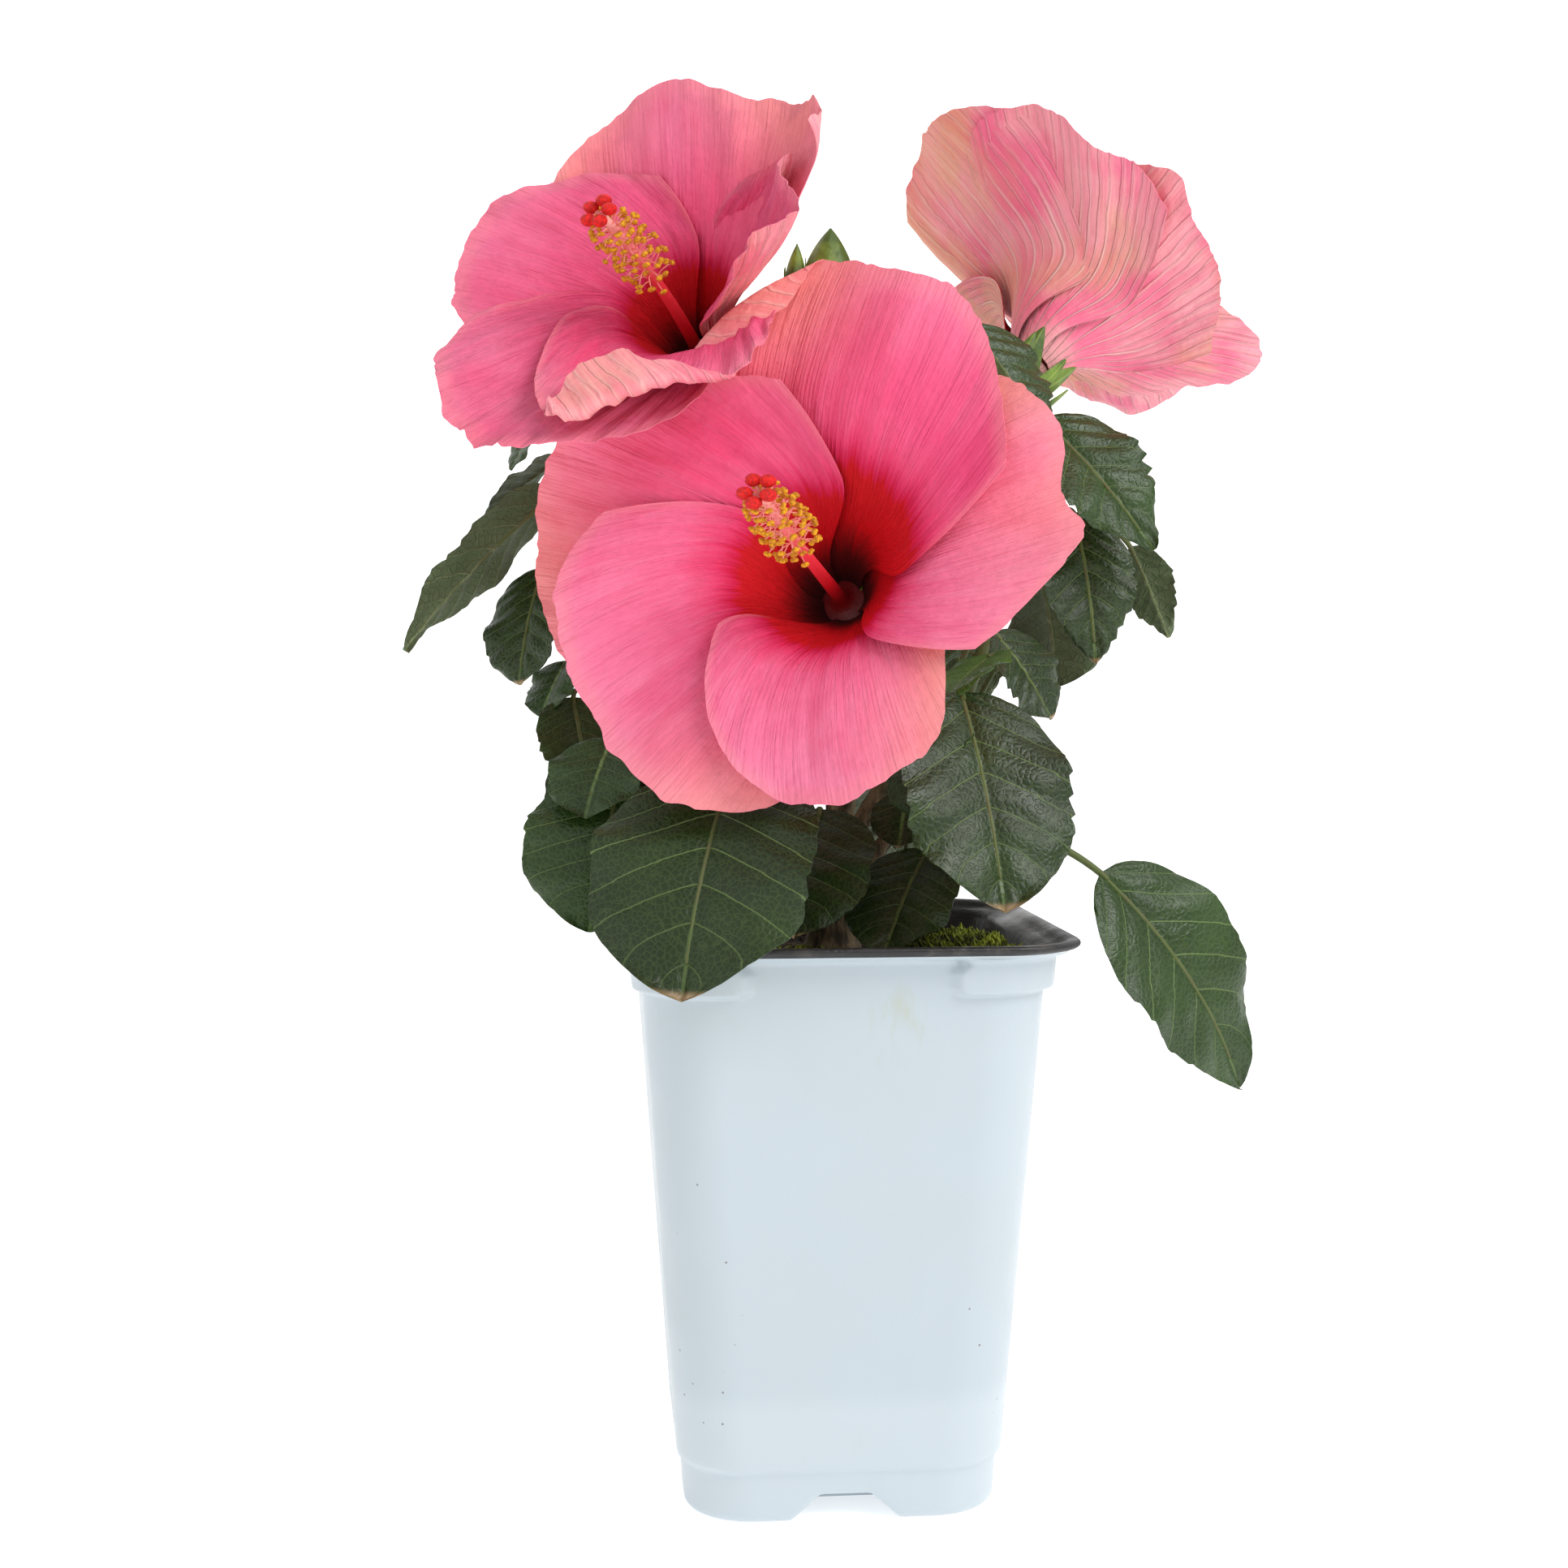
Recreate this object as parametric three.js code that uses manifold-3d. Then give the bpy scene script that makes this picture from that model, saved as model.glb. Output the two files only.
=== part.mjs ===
// A young hibiscus shrub in a square nursery pot: three open pink blooms, two buds and the leafy shoots of
// one short trunk. Millimetres, +Z up. The origin is the middle of the pot's flat underside.
import * as THREE from 'three';
import { mergeVertices } from 'three/addons/utils/BufferGeometryUtils.js';
import Module from 'manifold-3d';

const wasm = await Module();
wasm.setup();

// ---------------------------------------------------------------- driving sizes
const GAP = 0.3;                      // clearance between neighbouring solids
const SNAP = 0.002;                    // corners of joined petals closer than this become one

const POT = {
  height: 150,                        // ground to the top of the rim
  rim: 60,                            // half the width over the rim
  shoulder: 52.4,                     // half-width of the wall where it flares out to the rim
  ledge: 42.8,                        // half-width of the wall just above the foot
  foot: 41,                           // half-width on the ground
  footHeight: 13.5,
  rimHeight: 4.6,                     // from the flare to the top of the rim
  lip: 2,                             // thickness of the rolled edge
  lipWidth: 4.6,                      // from the edge in to the slope of the inside
  wall: 1.6,
  floor: 9,                           // thickness of the moulded bottom
  corner: 18,                         // corner radius of the wall
  rimCorner: 21,
};
const NOTCH = { bottom: 28, top: 13, height: 6.5, depth: 17 };  // the arch under each side of the foot
const LUG = { height: 10.4, top: 147, reach: 26.6, proud: 2.6 };  // the raised bands round the corners
const SOIL_TOP = 141;
const MOSS = {
  moss_right: { at: [28, -33], radius: [20, 13], height: 5 },
  moss_left: { at: [-10, -41], radius: [13, 8], height: 3.5 },
};

const TRUNK = {
  foot: [1, 2, SOIL_TOP - 2], middle: [1, 3, 158], head: [2, 4, 176],
  radius: [6.2, 4.6], flare: 3.4, flareHeight: 6,
};

// Shoots leave the trunk's middle line, bow through a middle point and end at a tip. A bough reaches from
// the trunk to `bough`, as a share of the shoot, and the foliage or the bloom grows on from there.
const SHOOTS = {
  front: { from: [2, 3, 163], bow: [6, -10, 186], to: [4, 3, 214], radius: [2.6, 2.0], bough: 1 },
  left: { from: [2, 4, 165.5], bow: [-20, 15, 200], to: [-22, 38, 264], radius: [2.7, 1.8], bough: 0.45 },
  right: { from: [2, 4, 167], bow: [28, 8, 198], to: [39, -4, 264], radius: [2.7, 1.8], bough: 0.5 },
  back: { from: [2, 4, 168], bow: [4, 30, 206], to: [2, 20, 306], radius: [2.6, 1.6], bough: 0.35 },
  side_left: { from: [2, 4, 156], bow: [-38, 8, 192], to: [-58, 14, 268], radius: [2.3, 1.4], bough: 0.25 },
  side_right: { from: [2, 4, 157], bow: [42, 4, 192], to: [56, 12, 276], radius: [2.3, 1.4], bough: 0.27 },
  low_left: { from: [2, 3, 149], bow: [-18, -12, 158], to: [-30, -24, 190], radius: [2.2, 1.5], bough: 0.3 },
  low_right: { from: [2, 3, 150], bow: [26, -10, 162], to: [40, -22, 204], radius: [2.2, 1.5], bough: 0.22 },
  low_back: { from: [2, 3, 152], bow: [8, 28, 164], to: [4, 46, 198], radius: [2.2, 1.5], bough: 0.3 },
};

// Each leaf: the share of its shoot where it stands; its stalk's heading, rise (degrees) and length; its
// blade's heading, rise and roll; its length, width and the angle through which the blade droops.
const LEAVES = {
  low_left: [
    { at: 0.95, stalk: [-88, 27, 15], blade: [-114, -39, 0], size: [67, 58, 34] },
    { at: 0.8, stalk: [177, 23, 34], blade: [-115, -52, -10], size: [44, 42, 30] },
    { at: 0.45, stalk: [-42, 56, 24], blade: [-112, -40, 0], size: [40, 36, 24] },
    { at: 0.7, stalk: [-179, 37, 46], blade: [-120, -44, 0], size: [25, 28, 20] },
  ],
  low_right: [
    { at: 0.97, stalk: [-128, 38, 18], blade: [-78, -50, 0], size: [62, 45, 22] },
    { at: 0.7, stalk: [7, -23, 46], blade: [-18, -42, 45], size: [76, 44, 46] },
    { at: 0.3, stalk: [-70, 28, 25], blade: [-124, -34, 0], size: [37, 30, 20] },
    { at: 0.4, stalk: [-93, 71, 23], blade: [-112, -50, 0], size: [17, 17, 15] },
    { at: 0.8, stalk: [-119, 62, 19], blade: [-134, -41, 20], size: [31, 28, 20] },
  ],
  side_left: [
    { at: 0.85, stalk: [165, 45, 31], blade: [-166, -39, 40], size: [63, 27, 16] },
    { at: 0.95, stalk: [142, 38, 27], blade: [-167, -32, 20], size: [29, 20, 14] },
    { at: 0.7, stalk: [165, 31, 40], blade: [-124, -58, 10], size: [35, 28, 20] },
    { at: 0.5, stalk: [170, 26, 43], blade: [-138, -51, 0], size: [18, 18, 16] },
    { at: 0.42, stalk: [176, 23, 45], blade: [-72, -53, 0], size: [27, 24, 20] },
    { at: 0.35, stalk: [166, 19, 51], blade: [-144, -65, 50], size: [27, 12, 14] },
    { at: 1.0, stalk: [147, 38, 31], blade: [-153, -53, 0], size: [16, 12, 10] },
  ],
  side_right: [
    { at: 0.95, stalk: [-63, 64, 21], blade: [-38, -40, 35], size: [48, 32, 24] },
    { at: 0.8, stalk: [-7, 42, 26], blade: [-70, -66, 10], size: [43, 28, 24] },
    { at: 0.9, stalk: [16, -10, 37], blade: [-13, -65, -60], size: [28, 16, 10] },
    { at: 0.6, stalk: [35, 46, 39], blade: [37, -70, 0], size: [32, 34, 16] },
    { at: 0.45, stalk: [-53, 59, 35], blade: [-18, -48, 25], size: [28, 28, 20] },
    { at: 0.4, stalk: [-64, 48, 40], blade: [-139, -22, 10], size: [23, 24, 15] },
  ],
  right: [
    { at: 0.75, stalk: [-60, 78, 68], blade: [-31, -45, 20], size: [27, 18, 20] },
  ],
};

// Seeded leaves that fill the sides and the back. Each shoot's leaves stay inside its own space.
const FILL = {
  left: { seed: 11, count: 7, low: [-72, 16, 196], high: [0, 84, 292], heading: 130 },
  right: { seed: 23, count: 6, low: [14, 14, 200], high: [78, 84, 292], heading: 50 },
  back: { seed: 37, count: 8, low: [-44, 20, 190], high: [52, 92, 330], heading: 90 },
  side_left: { seed: 41, count: 6, low: [-74, 8, 170], high: [-18, 74, 268], heading: 120 },
  side_right: { seed: 53, count: 6, low: [18, 8, 170], high: [76, 74, 268], heading: 60 },
  low_left: { seed: 61, count: 3, low: [-70, -20, 152], high: [-8, 40, 215], heading: 170 },
  low_right: { seed: 71, count: 3, low: [10, -20, 152], high: [72, 40, 215], heading: 20 },
  low_back: { seed: 83, count: 8, low: [-64, 22, 134], high: [68, 94, 226], heading: 90 },
};
// The ranges that a seeded leaf is drawn from: each first number, and how much a random share adds to it.
const SEEDED = {
  at: [0.34, 0.62], sway: 24, length: [46, 18], droop: [22, 18], stalkRise: [18, 30], stalkLength: [14, 10],
  yaw: 30, rise: [-14, -34], roll: 30, width: [0.62, 0.14], tries: 4, shrink: 0.1,
};
const SAMPLES = { leaf: [13, 8], petal: [16, 14], spacing: 3 };  // steps of the points that stand for them
const LEAF_THICKNESS = 0.9;
const LEAF_CLEAR = 4.6;               // least distance between the sample points of two leaves
const GOLDEN = 137.5;                 // turn from one leaf to the next along a shoot
const BLADE = { hollow: 0.18, fold: 0.108, tip: 0.5 };  // how the halves rise and bend, and the narrowest
const STALK = { radius: 1.3, taper: 0.25, tuck: 0.35, into: 2.5 };

// Each bloom: where its petals start, the way it faces, how far its column's tip leans aside and up, and its
// petals, told by turn (degrees about the axis), length and width (as shares) and tilt (more or less open).
const BLOOMS = {
  front: {
    base: [-4, -20, 234], axis: [-0.38, -0.86, 0.3], shoot: 'front', length: 90, width: 116, roll: 17,
    flare: [34, 84, 10, 52], overlap: 5, ruffle: 3, lean: [2.9, 6.7],
    petals: [
      { turn: 11, long: 0.92, wide: 0.92, tilt: 18 },
      { turn: -13, long: 1.02, wide: 1.0, tilt: 12 },
      { turn: 2, long: 0.88, wide: 1.15, tilt: 14 },
      { turn: -6, long: 0.8, wide: 1.15, tilt: 0 },
      { turn: -16, long: 0.76, wide: 0.95, tilt: -10 },
    ],
  },
  left: {
    base: [-32, 18, 301], axis: [-0.36, -0.74, 0.58], shoot: 'left', length: 80, width: 104, roll: 15,
    flare: [24, 64, 10, 46], overlap: 6, ruffle: 3.5, lean: [-6, -4.7],
    petals: [
      { turn: 0, long: 0.95, wide: 0.8, tilt: -22 },
      { turn: 9, long: 0.95, wide: 1.2, tilt: 1 },
      { turn: 10, long: 0.92, wide: 0.94, tilt: 9 },
      { turn: 17, long: 1.08, wide: 0.78, tilt: 3 },
      { turn: -19, long: 1.0, wide: 0.9, tilt: -6 },
    ],
  },
  right: {
    base: [54, 4, 300], axis: [0.53, 0.47, 0.71], shoot: 'right', length: 78, width: 98, roll: 24,
    flare: [23, 60, 11, 47], overlap: 6, ruffle: 3, lean: [0, 8],
    petals: [
      { turn: 5, long: 1.08, wide: 1.2, tilt: -3 },
      { turn: 4, long: 0.88, wide: 0.86, tilt: 18 },
      { turn: -20, long: 0.8, wide: 1.05, tilt: 5 },
      { turn: 6, long: 0.98, wide: 0.68, tilt: -7 },
      { turn: 8, long: 1.12, wide: 1.0, tilt: -3 },
    ],
  },
};
const PETAL = { count: 5, claw: 14, tube: 4.5, thickness: 1.1, waves: 2.2, blunt: 0.3 };
const COLUMN = { length: 60, radius: 1.9, anthers: 4.6, stigma: 2.4, spread: 3, above: 1.5 };
const CALYX = {
  below: 2.5, cup: 10, radius: 7, lobe: 20, lobeWidth: 13, lobeThickness: 1, clear: 4.6, pedicel: 1.6,
};
const BUDS = [
  { to: [1, 13, 320], length: 19, radius: 6.6 },
  { to: [-8, 15, 321], length: 14, radius: 2.8 },
];

// ---------------------------------------------------------------- small mathematics
const deg = THREE.MathUtils.degToRad;
const clamp = THREE.MathUtils.clamp;
const vec = (list) => new THREE.Vector3(...list);

/** Unit vector with a heading about +Z and a rise above the ground, in degrees. */
function aim(heading, rise) {
  const [turn, lift] = [deg(heading), deg(rise)];
  return vec([Math.cos(lift) * Math.cos(turn), Math.cos(lift) * Math.sin(turn), Math.sin(lift)]);
}

/** Random numbers from 0 to 1 that are the same on every run. */
function randomStream(seed) {
  let state = seed >>> 0;
  return () => {
    state = (state + 0x6d2b79f5) >>> 0;
    let mix = Math.imul(state ^ (state >>> 15), state | 1) >>> 0;
    mix = (mix ^ (mix + Math.imul(mix ^ (mix >>> 7), mix | 61))) >>> 0;
    return ((mix ^ (mix >>> 14)) >>> 0) / 4294967296;
  };
}

/** A quadratic curve with a frame at each point: the curve lies in one plane, so the frame never twists. */
function bowed(from, bow, to) {
  const curve = new THREE.QuadraticBezierCurve3(from, bow, to);
  const first = bow.clone().sub(from);
  const across = first.clone().cross(to.clone().sub(bow));
  if (across.length() < 1e-3) {
    across.crossVectors(first, Math.abs(first.x) < Math.abs(first.y) ? vec([1, 0, 0]) : vec([0, 1, 0]));
  }
  across.normalize();
  return {
    point: (t) => curve.getPoint(t),
    frame: (t) => {
      const along = curve.getTangent(t);
      return { along, across, beside: across.clone().cross(along) };
    },
    length: curve.getLength(),
  };
}

// ---------------------------------------------------------------- solids
/** Closed geometry to a manifold solid: only merged positions are kept and empty triangles dropped. */
function toSolid(geometry) {
  const bare = geometry.clone();
  bare.deleteAttribute('normal');
  bare.deleteAttribute('uv');
  const merged = mergeVertices(bare, 1e-4);
  const index = Array.from(merged.index.array);
  const kept = [];
  for (let i = 0; i < index.length; i += 3) {
    const [a, b, c] = index.slice(i, i + 3);
    if (a !== b && b !== c && c !== a) kept.push(a, b, c);
  }
  const mesh = new wasm.Mesh({
    numProp: 3,
    vertProperties: new Float32Array(merged.attributes.position.array),
    triVerts: new Uint32Array(kept),
  });
  return new wasm.Manifold(mesh);
}

/** Six times the signed volume between one triangle and the origin. */
function wedge(at, a, b, c) {
  const [p, q, r] = [a, b, c].map((i) => vec(at.slice(3 * i, 3 * i + 3)));
  return p.dot(q.cross(r));
}

/** Splits a mesh's triangles into shells that share no corner, each with its signed volume. */
function shells(mesh) {
  const owner = Array.from({ length: mesh.vertProperties.length / 3 }, (_, i) => i);
  const root = (i) => {
    let top = i;
    while (owner[top] !== top) top = owner[top];
    owner[i] = top;
    return top;
  };
  const index = mesh.triVerts;
  for (let i = 0; i < index.length; i += 3) {
    owner[root(index[i + 1])] = root(index[i]);
    owner[root(index[i + 2])] = root(index[i]);
  }
  const found = new Map();
  for (let i = 0; i < index.length; i += 3) {
    const key = root(index[i]);
    const shell = found.get(key) ?? { index: [], volume: 0 };
    shell.index.push(index[i], index[i + 1], index[i + 2]);
    shell.volume += wedge(mesh.vertProperties, index[i], index[i + 1], index[i + 2]);
    found.set(key, shell);
  }
  return [...found.values()];
}

/** Manifold solid to a geometry of its one outer shell: hollows sealed by joining are filled that way. */
function toGeometry(solid) {
  const mesh = solid.getMesh();
  const outer = shells(mesh).reduce((best, shell) => (shell.volume > best.volume ? shell : best));
  const geometry = new THREE.BufferGeometry();
  geometry.setAttribute('position', new THREE.Float32BufferAttribute(mesh.vertProperties, 3));
  geometry.setIndex(outer.index);
  return geometry;
}

/** Joins sheets that cross at shallow angles: corners closer than SNAP are drawn together afterwards. */
function settled(solid) {
  const geometry = toGeometry(solid);
  const position = geometry.attributes.position;
  for (let i = 0; i < position.count; i += 1) {
    const corner = [position.getX(i), position.getY(i), position.getZ(i)];
    position.setXYZ(i, ...corner.map((value) => Math.round(value / SNAP) * SNAP));
  }
  return toSolid(geometry);
}

const join = (solids) => solids.reduce((all, next) => all.add(next));

/** Moves every vertex of a geometry to place(x, y, z). */
function reshape(geometry, place) {
  const position = geometry.attributes.position;
  for (let i = 0; i < position.count; i += 1) {
    const moved = place(position.getX(i), position.getY(i), position.getZ(i));
    position.setXYZ(i, moved.x, moved.y, moved.z);
  }
  return geometry;
}

/** A limb: a cylinder bent along part of a curve, its radius told along its length. */
function limb(curve, radiusAt, sides, steps, start = 0, end = 1) {
  const geometry = new THREE.CylinderGeometry(1, 1, 1, sides, steps);
  return toSolid(reshape(geometry, (x, y, z) => {
    const share = y + 0.5;
    const t = start + (end - start) * share;
    const { across, beside } = curve.frame(t);
    const radius = radiusAt(share);
    return curve.point(t).addScaledVector(across, x * radius).addScaledVector(beside, z * radius);
  }));
}

/** A thin sheet: a box whose faces follow surface(u, v), half the thickness off along its normal.
 *  The thickness is negative where the normal points to the side from which v runs right to left. */
function sheet(surface, rows, columns, thickness) {
  const geometry = new THREE.BoxGeometry(1, 1, 1, columns, rows, 1);
  return toSolid(reshape(geometry, (x, y, z) => {
    const { point, normal } = surface(y + 0.5, 2 * x);
    return point.addScaledVector(normal, z * thickness);
  }));
}

// ---------------------------------------------------------------- pot and soil
/** A point of a rounded square: `step` counts round it, `half` is its half-width. */
const RING_STEPS = 24;
function onRoundedSquare(step, half, corner) {
  const perCorner = RING_STEPS / 4;
  const quarter = Math.floor((step % RING_STEPS) / perCorner);
  const turn = ((step % perCorner) / (perCorner - 1)) * 90 + quarter * 90;
  const radius = Math.min(corner, half);
  const centre = half - radius;
  const signX = quarter === 0 || quarter === 3 ? 1 : -1;
  const signY = quarter < 2 ? 1 : -1;
  return [signX * centre + radius * Math.cos(deg(turn)), signY * centre + radius * Math.sin(deg(turn))];
}

/** A closed profile of [half-width, height, corner radius] points carried round the rounded square. */
function squareTurned(profile) {
  const lathe = new THREE.LatheGeometry(profile.map(([half, z]) => new THREE.Vector2(half, z)), RING_STEPS);
  const position = lathe.attributes.position;
  for (let i = 0; i < position.count; i += 1) {
    const [half, z, corner] = profile[i % profile.length];
    const step = Math.floor(i / profile.length);
    const [x, y] = half === 0 ? [0, 0] : onRoundedSquare(step, half, corner);
    position.setXYZ(i, x, y, z);
  }
  return toSolid(lathe);
}

/** Half-width of the pot's outer wall at a height: a straight batter from the foot's ledge to the flare. */
function wallAt(z) {
  const top = POT.height - POT.rimHeight;
  return POT.ledge + ((POT.shoulder - POT.ledge) * (z - POT.footHeight)) / (top - POT.footHeight);
}

function potBody() {
  const { height, rim, foot, footHeight, wall, corner, rimCorner, rimHeight, lip, lipWidth } = POT;
  const flare = height - rimHeight;
  return squareTurned([
    [0, 0, 0],
    [foot - 2, 0, corner - 2],
    [foot, 2.5, corner],
    [foot + 0.6, footHeight, corner],
    [wallAt(footHeight + 1), footHeight + 1, corner],
    [wallAt(flare), flare, corner],
    [rim - lip, height - lip - 0.4, rimCorner - 1],
    [rim, height - lip, rimCorner],
    [rim, height, rimCorner],
    [rim - 1.4, height, rimCorner - 1],
    [rim - lipWidth, height - 1.4, rimCorner - 3],
    [rim - lipWidth - 1.4, height - 2.2, rimCorner - 4],
    [wallAt(flare) - wall, flare, corner - wall],
    [wallAt(footHeight + 6) - wall, footHeight + 6, corner - wall],
    [foot - 2, POT.floor, corner - wall],
    [0, POT.floor, 0],
  ]);
}

/** The wedge that cuts one arch under the foot. */
function archCutter(quarter) {
  const shape = new THREE.Shape();
  shape.moveTo(-NOTCH.bottom / 2, -1);
  shape.lineTo(NOTCH.bottom / 2, -1);
  shape.lineTo(NOTCH.top / 2, NOTCH.height);
  shape.lineTo(-NOTCH.top / 2, NOTCH.height);
  shape.closePath();
  const geometry = new THREE.ExtrudeGeometry(shape, { depth: NOTCH.depth + 10, bevelEnabled: false });
  geometry.rotateX(Math.PI / 2);
  geometry.translate(0, -POT.foot + NOTCH.depth, 0);
  geometry.rotateZ((quarter * Math.PI) / 2);
  return toSolid(geometry);
}

/** The raised stacking lugs: one band under the rim, kept only round the four corners. */
function cornerLugs() {
  const { top } = LUG;
  const bottom = top - LUG.height;
  const band = squareTurned([
    [wallAt(bottom) - POT.wall / 2, bottom - 1, POT.corner - 1],
    [wallAt(bottom), bottom - 1, POT.corner],
    [wallAt(bottom) + LUG.proud, bottom + 0.6, POT.corner + 2],
    [wallAt(top) + LUG.proud, top, POT.corner + 2],
    [wallAt(top) + 1, top, POT.corner],
    [wallAt(top - 3) - POT.wall / 2, top - 3, POT.corner - 1],
    [wallAt(bottom) - POT.wall / 2, bottom - 1, POT.corner - 1],
  ]);
  const size = POT.rim - (POT.shoulder - LUG.reach) + 10;
  const corners = [[1, 1], [-1, 1], [-1, -1], [1, -1]].map(([signX, signY]) => {
    const box = new THREE.BoxGeometry(size, size, LUG.height + 4);
    const middle = POT.shoulder - LUG.reach + size / 2;
    box.translate(signX * middle, signY * middle, (top + bottom) / 2);
    return toSolid(box);
  });
  return band.intersect(join(corners));
}

function pot() {
  let solid = potBody().add(cornerLugs());
  for (let quarter = 0; quarter < 4; quarter += 1) {
    solid = solid.subtract(archCutter(quarter));
  }
  return solid;
}

function soil() {
  const inset = POT.wall + GAP;
  const knee = POT.footHeight + 6;
  return squareTurned([
    [0, POT.floor + GAP, 0],
    [POT.foot - 2.6, POT.floor + GAP, POT.corner - inset],
    [wallAt(knee) - inset, knee, POT.corner - inset],
    [wallAt(SOIL_TOP - 1) - inset, SOIL_TOP - 1, POT.corner - inset],
    [wallAt(SOIL_TOP) - inset - 0.8, SOIL_TOP, POT.corner - inset],
    [0, SOIL_TOP, 0],
  ]);
}

function mossMound({ at, radius, height }) {
  const half = [[0, 0], [1, 0], [0.86, 0.5], [0.5, 0.86], [0, 1]];
  const geometry = new THREE.LatheGeometry(half.map(([r, z]) => new THREE.Vector2(r, z)), 12);
  return toSolid(reshape(geometry, (x, y, z) => new THREE.Vector3(
    at[0] + x * radius[0], at[1] - z * radius[1], SOIL_TOP + GAP + y * height)));
}

// ---------------------------------------------------------------- trunk and shoots
const trunkCurve = bowed(vec(TRUNK.foot), vec(TRUNK.middle), vec(TRUNK.head));

/** The trunk's radius: a straight taper with a flare that dies out above the ground. */
function trunkRadius(share, extra = 0) {
  const above = share * (TRUNK.head[2] - TRUNK.foot[2]);
  const flare = TRUNK.flare * Math.exp(-above / TRUNK.flareHeight);
  const head = share > 0.96 ? 0.72 : 1;
  return head * (TRUNK.radius[0] + (TRUNK.radius[1] - TRUNK.radius[0]) * share + flare) + extra;
}

/** The trunk, cut flat at the ground; `extra` makes a fatter copy to cut its neighbours clear. */
function trunk(extra = 0) {
  const ground = new THREE.BoxGeometry(60, 60, 20);
  ground.translate(0, 0, SOIL_TOP + GAP - 10);
  return limb(trunkCurve, (share) => trunkRadius(share, extra), 10, 7).subtract(toSolid(ground));
}

const shootCurves = Object.fromEntries(Object.entries(SHOOTS).map(
  ([name, shoot]) => [name, bowed(vec(shoot.from), vec(shoot.bow), vec(shoot.to))]));

/** Radius of a shoot at a share of its whole length. */
const shootRadius = (shoot, t) => shoot.radius[0] + (shoot.radius[1] - shoot.radius[0]) * t;

function bough(name, trunkClear) {
  const shoot = SHOOTS[name];
  const radiusAt = (share) => shootRadius(shoot, share * shoot.bough);
  return limb(shootCurves[name], radiusAt, 7, 5, 0, shoot.bough).subtract(trunkClear);
}

/** The leafy part of a shoot, which starts a clearance beyond its bough's tip. */
function leafyStem(name) {
  const shoot = SHOOTS[name];
  const start = shoot.bough + (GAP * 1.4) / shootCurves[name].length;
  const radiusAt = (share) => shootRadius(shoot, start + (1 - start) * share);
  return limb(shootCurves[name], radiusAt, 6, 6, start, 1);
}

// ---------------------------------------------------------------- leaves
/** Half-width of a leaf along its length, 1 at its widest. */
const leafHalf = (u) => Math.sin(Math.PI * clamp(u, 0, 1) ** 0.78) ** 0.7;

/** A leaf's parts: the foot of its stalk, the foot of its blade, and the blade's three directions. */
function leafFrame(name, leaf) {
  const foot = shootCurves[name].point(leaf.at);
  const base = foot.clone().addScaledVector(aim(leaf.stalk[0], leaf.stalk[1]), leaf.stalk[2]);
  const [heading, rise, roll] = leaf.blade;
  const along = aim(heading, rise);
  const level = aim(heading, rise + 90);
  const flank = along.clone().cross(level);
  const [cos, sin] = [Math.cos(deg(roll)), Math.sin(deg(roll))];
  const up = level.clone().multiplyScalar(cos).addScaledVector(flank, sin);
  const side = flank.clone().multiplyScalar(cos).addScaledVector(level, -sin);
  return { foot, base, along, up, side };
}

/** The blade: its midrib droops on an arc, and its halves rise a little from the midrib. */
function leafSurface(name, leaf) {
  const { base, along, up, side } = leafFrame(name, leaf);
  const [length, width, droop] = leaf.size;
  const turn = deg(droop);
  return (u, v) => {
    const reach = (length * Math.sin(turn * u)) / turn;
    const fall = (length * (1 - Math.cos(turn * u))) / turn;
    const normal = up.clone().multiplyScalar(Math.cos(turn * u)).addScaledVector(along, Math.sin(turn * u));
    const across = v * Math.max((width / 2) * leafHalf(u), BLADE.tip);
    const lift = BLADE.hollow * Math.abs(across) - (BLADE.fold * across * across) / (width / 2);
    const point = base.clone().addScaledVector(along, reach).addScaledVector(up, -fall);
    return { point: point.addScaledVector(side, across).addScaledVector(normal, lift), normal };
  };
}

/** The stalk leaves its shoot along its own heading and turns into the midrib. */
function leafStalk(name, leaf) {
  const { foot, base, along } = leafFrame(name, leaf);
  const bow = base.clone().addScaledVector(along, -STALK.tuck * leaf.stalk[2]);
  return bowed(foot, bow, base.clone().addScaledVector(along, STALK.into));
}

function leafSolid(name, leaf) {
  const stalk = limb(leafStalk(name, leaf), (share) => STALK.radius - STALK.taper * share, 3, 3);
  return stalk.add(sheet(leafSurface(name, leaf), 4, 2, LEAF_THICKNESS));
}

// ---------------------------------------------------------------- blooms
function bloomFrame(bloom) {
  const axis = vec(bloom.axis).normalize();
  const right = vec([0, 0, 1]).cross(axis).normalize();
  return { axis, right, top: axis.clone().cross(right) };
}

/** The petals' common profile: radius and height over the base by distance along the petal. */
function flareProfile(bloom, petal, length) {
  const [from, to, start, end] = bloom.flare;
  const steps = 120;
  const reach = bloom.length * 1.3;
  const step = reach / steps;
  const slope = (s) => {
    const t = clamp((s - start) / (end - start), 0, 1);
    const share = clamp(s / length, 0, 1);
    return deg(from + (to - from) * t * t * (3 - 2 * t) + petal.tilt * share * share);
  };
  const rows = [{ radius: PETAL.tube, height: 0, slope: slope(0) }];
  for (let i = 1; i <= steps; i += 1) {
    const last = rows[i - 1];
    const next = slope(i * step);
    rows.push({
      radius: last.radius + ((Math.sin(last.slope) + Math.sin(next)) / 2) * step,
      height: last.height + ((Math.cos(last.slope) + Math.cos(next)) / 2) * step,
      slope: next,
    });
  }
  return (s) => {
    const place = clamp(s / step, 0, steps - 1e-6);
    const low = Math.floor(place);
    const part = place - low;
    const mix = (key) => rows[low][key] * (1 - part) + rows[low + 1][key] * part;
    return { radius: mix('radius'), height: mix('height'), slope: mix('slope') };
  };
}

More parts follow.
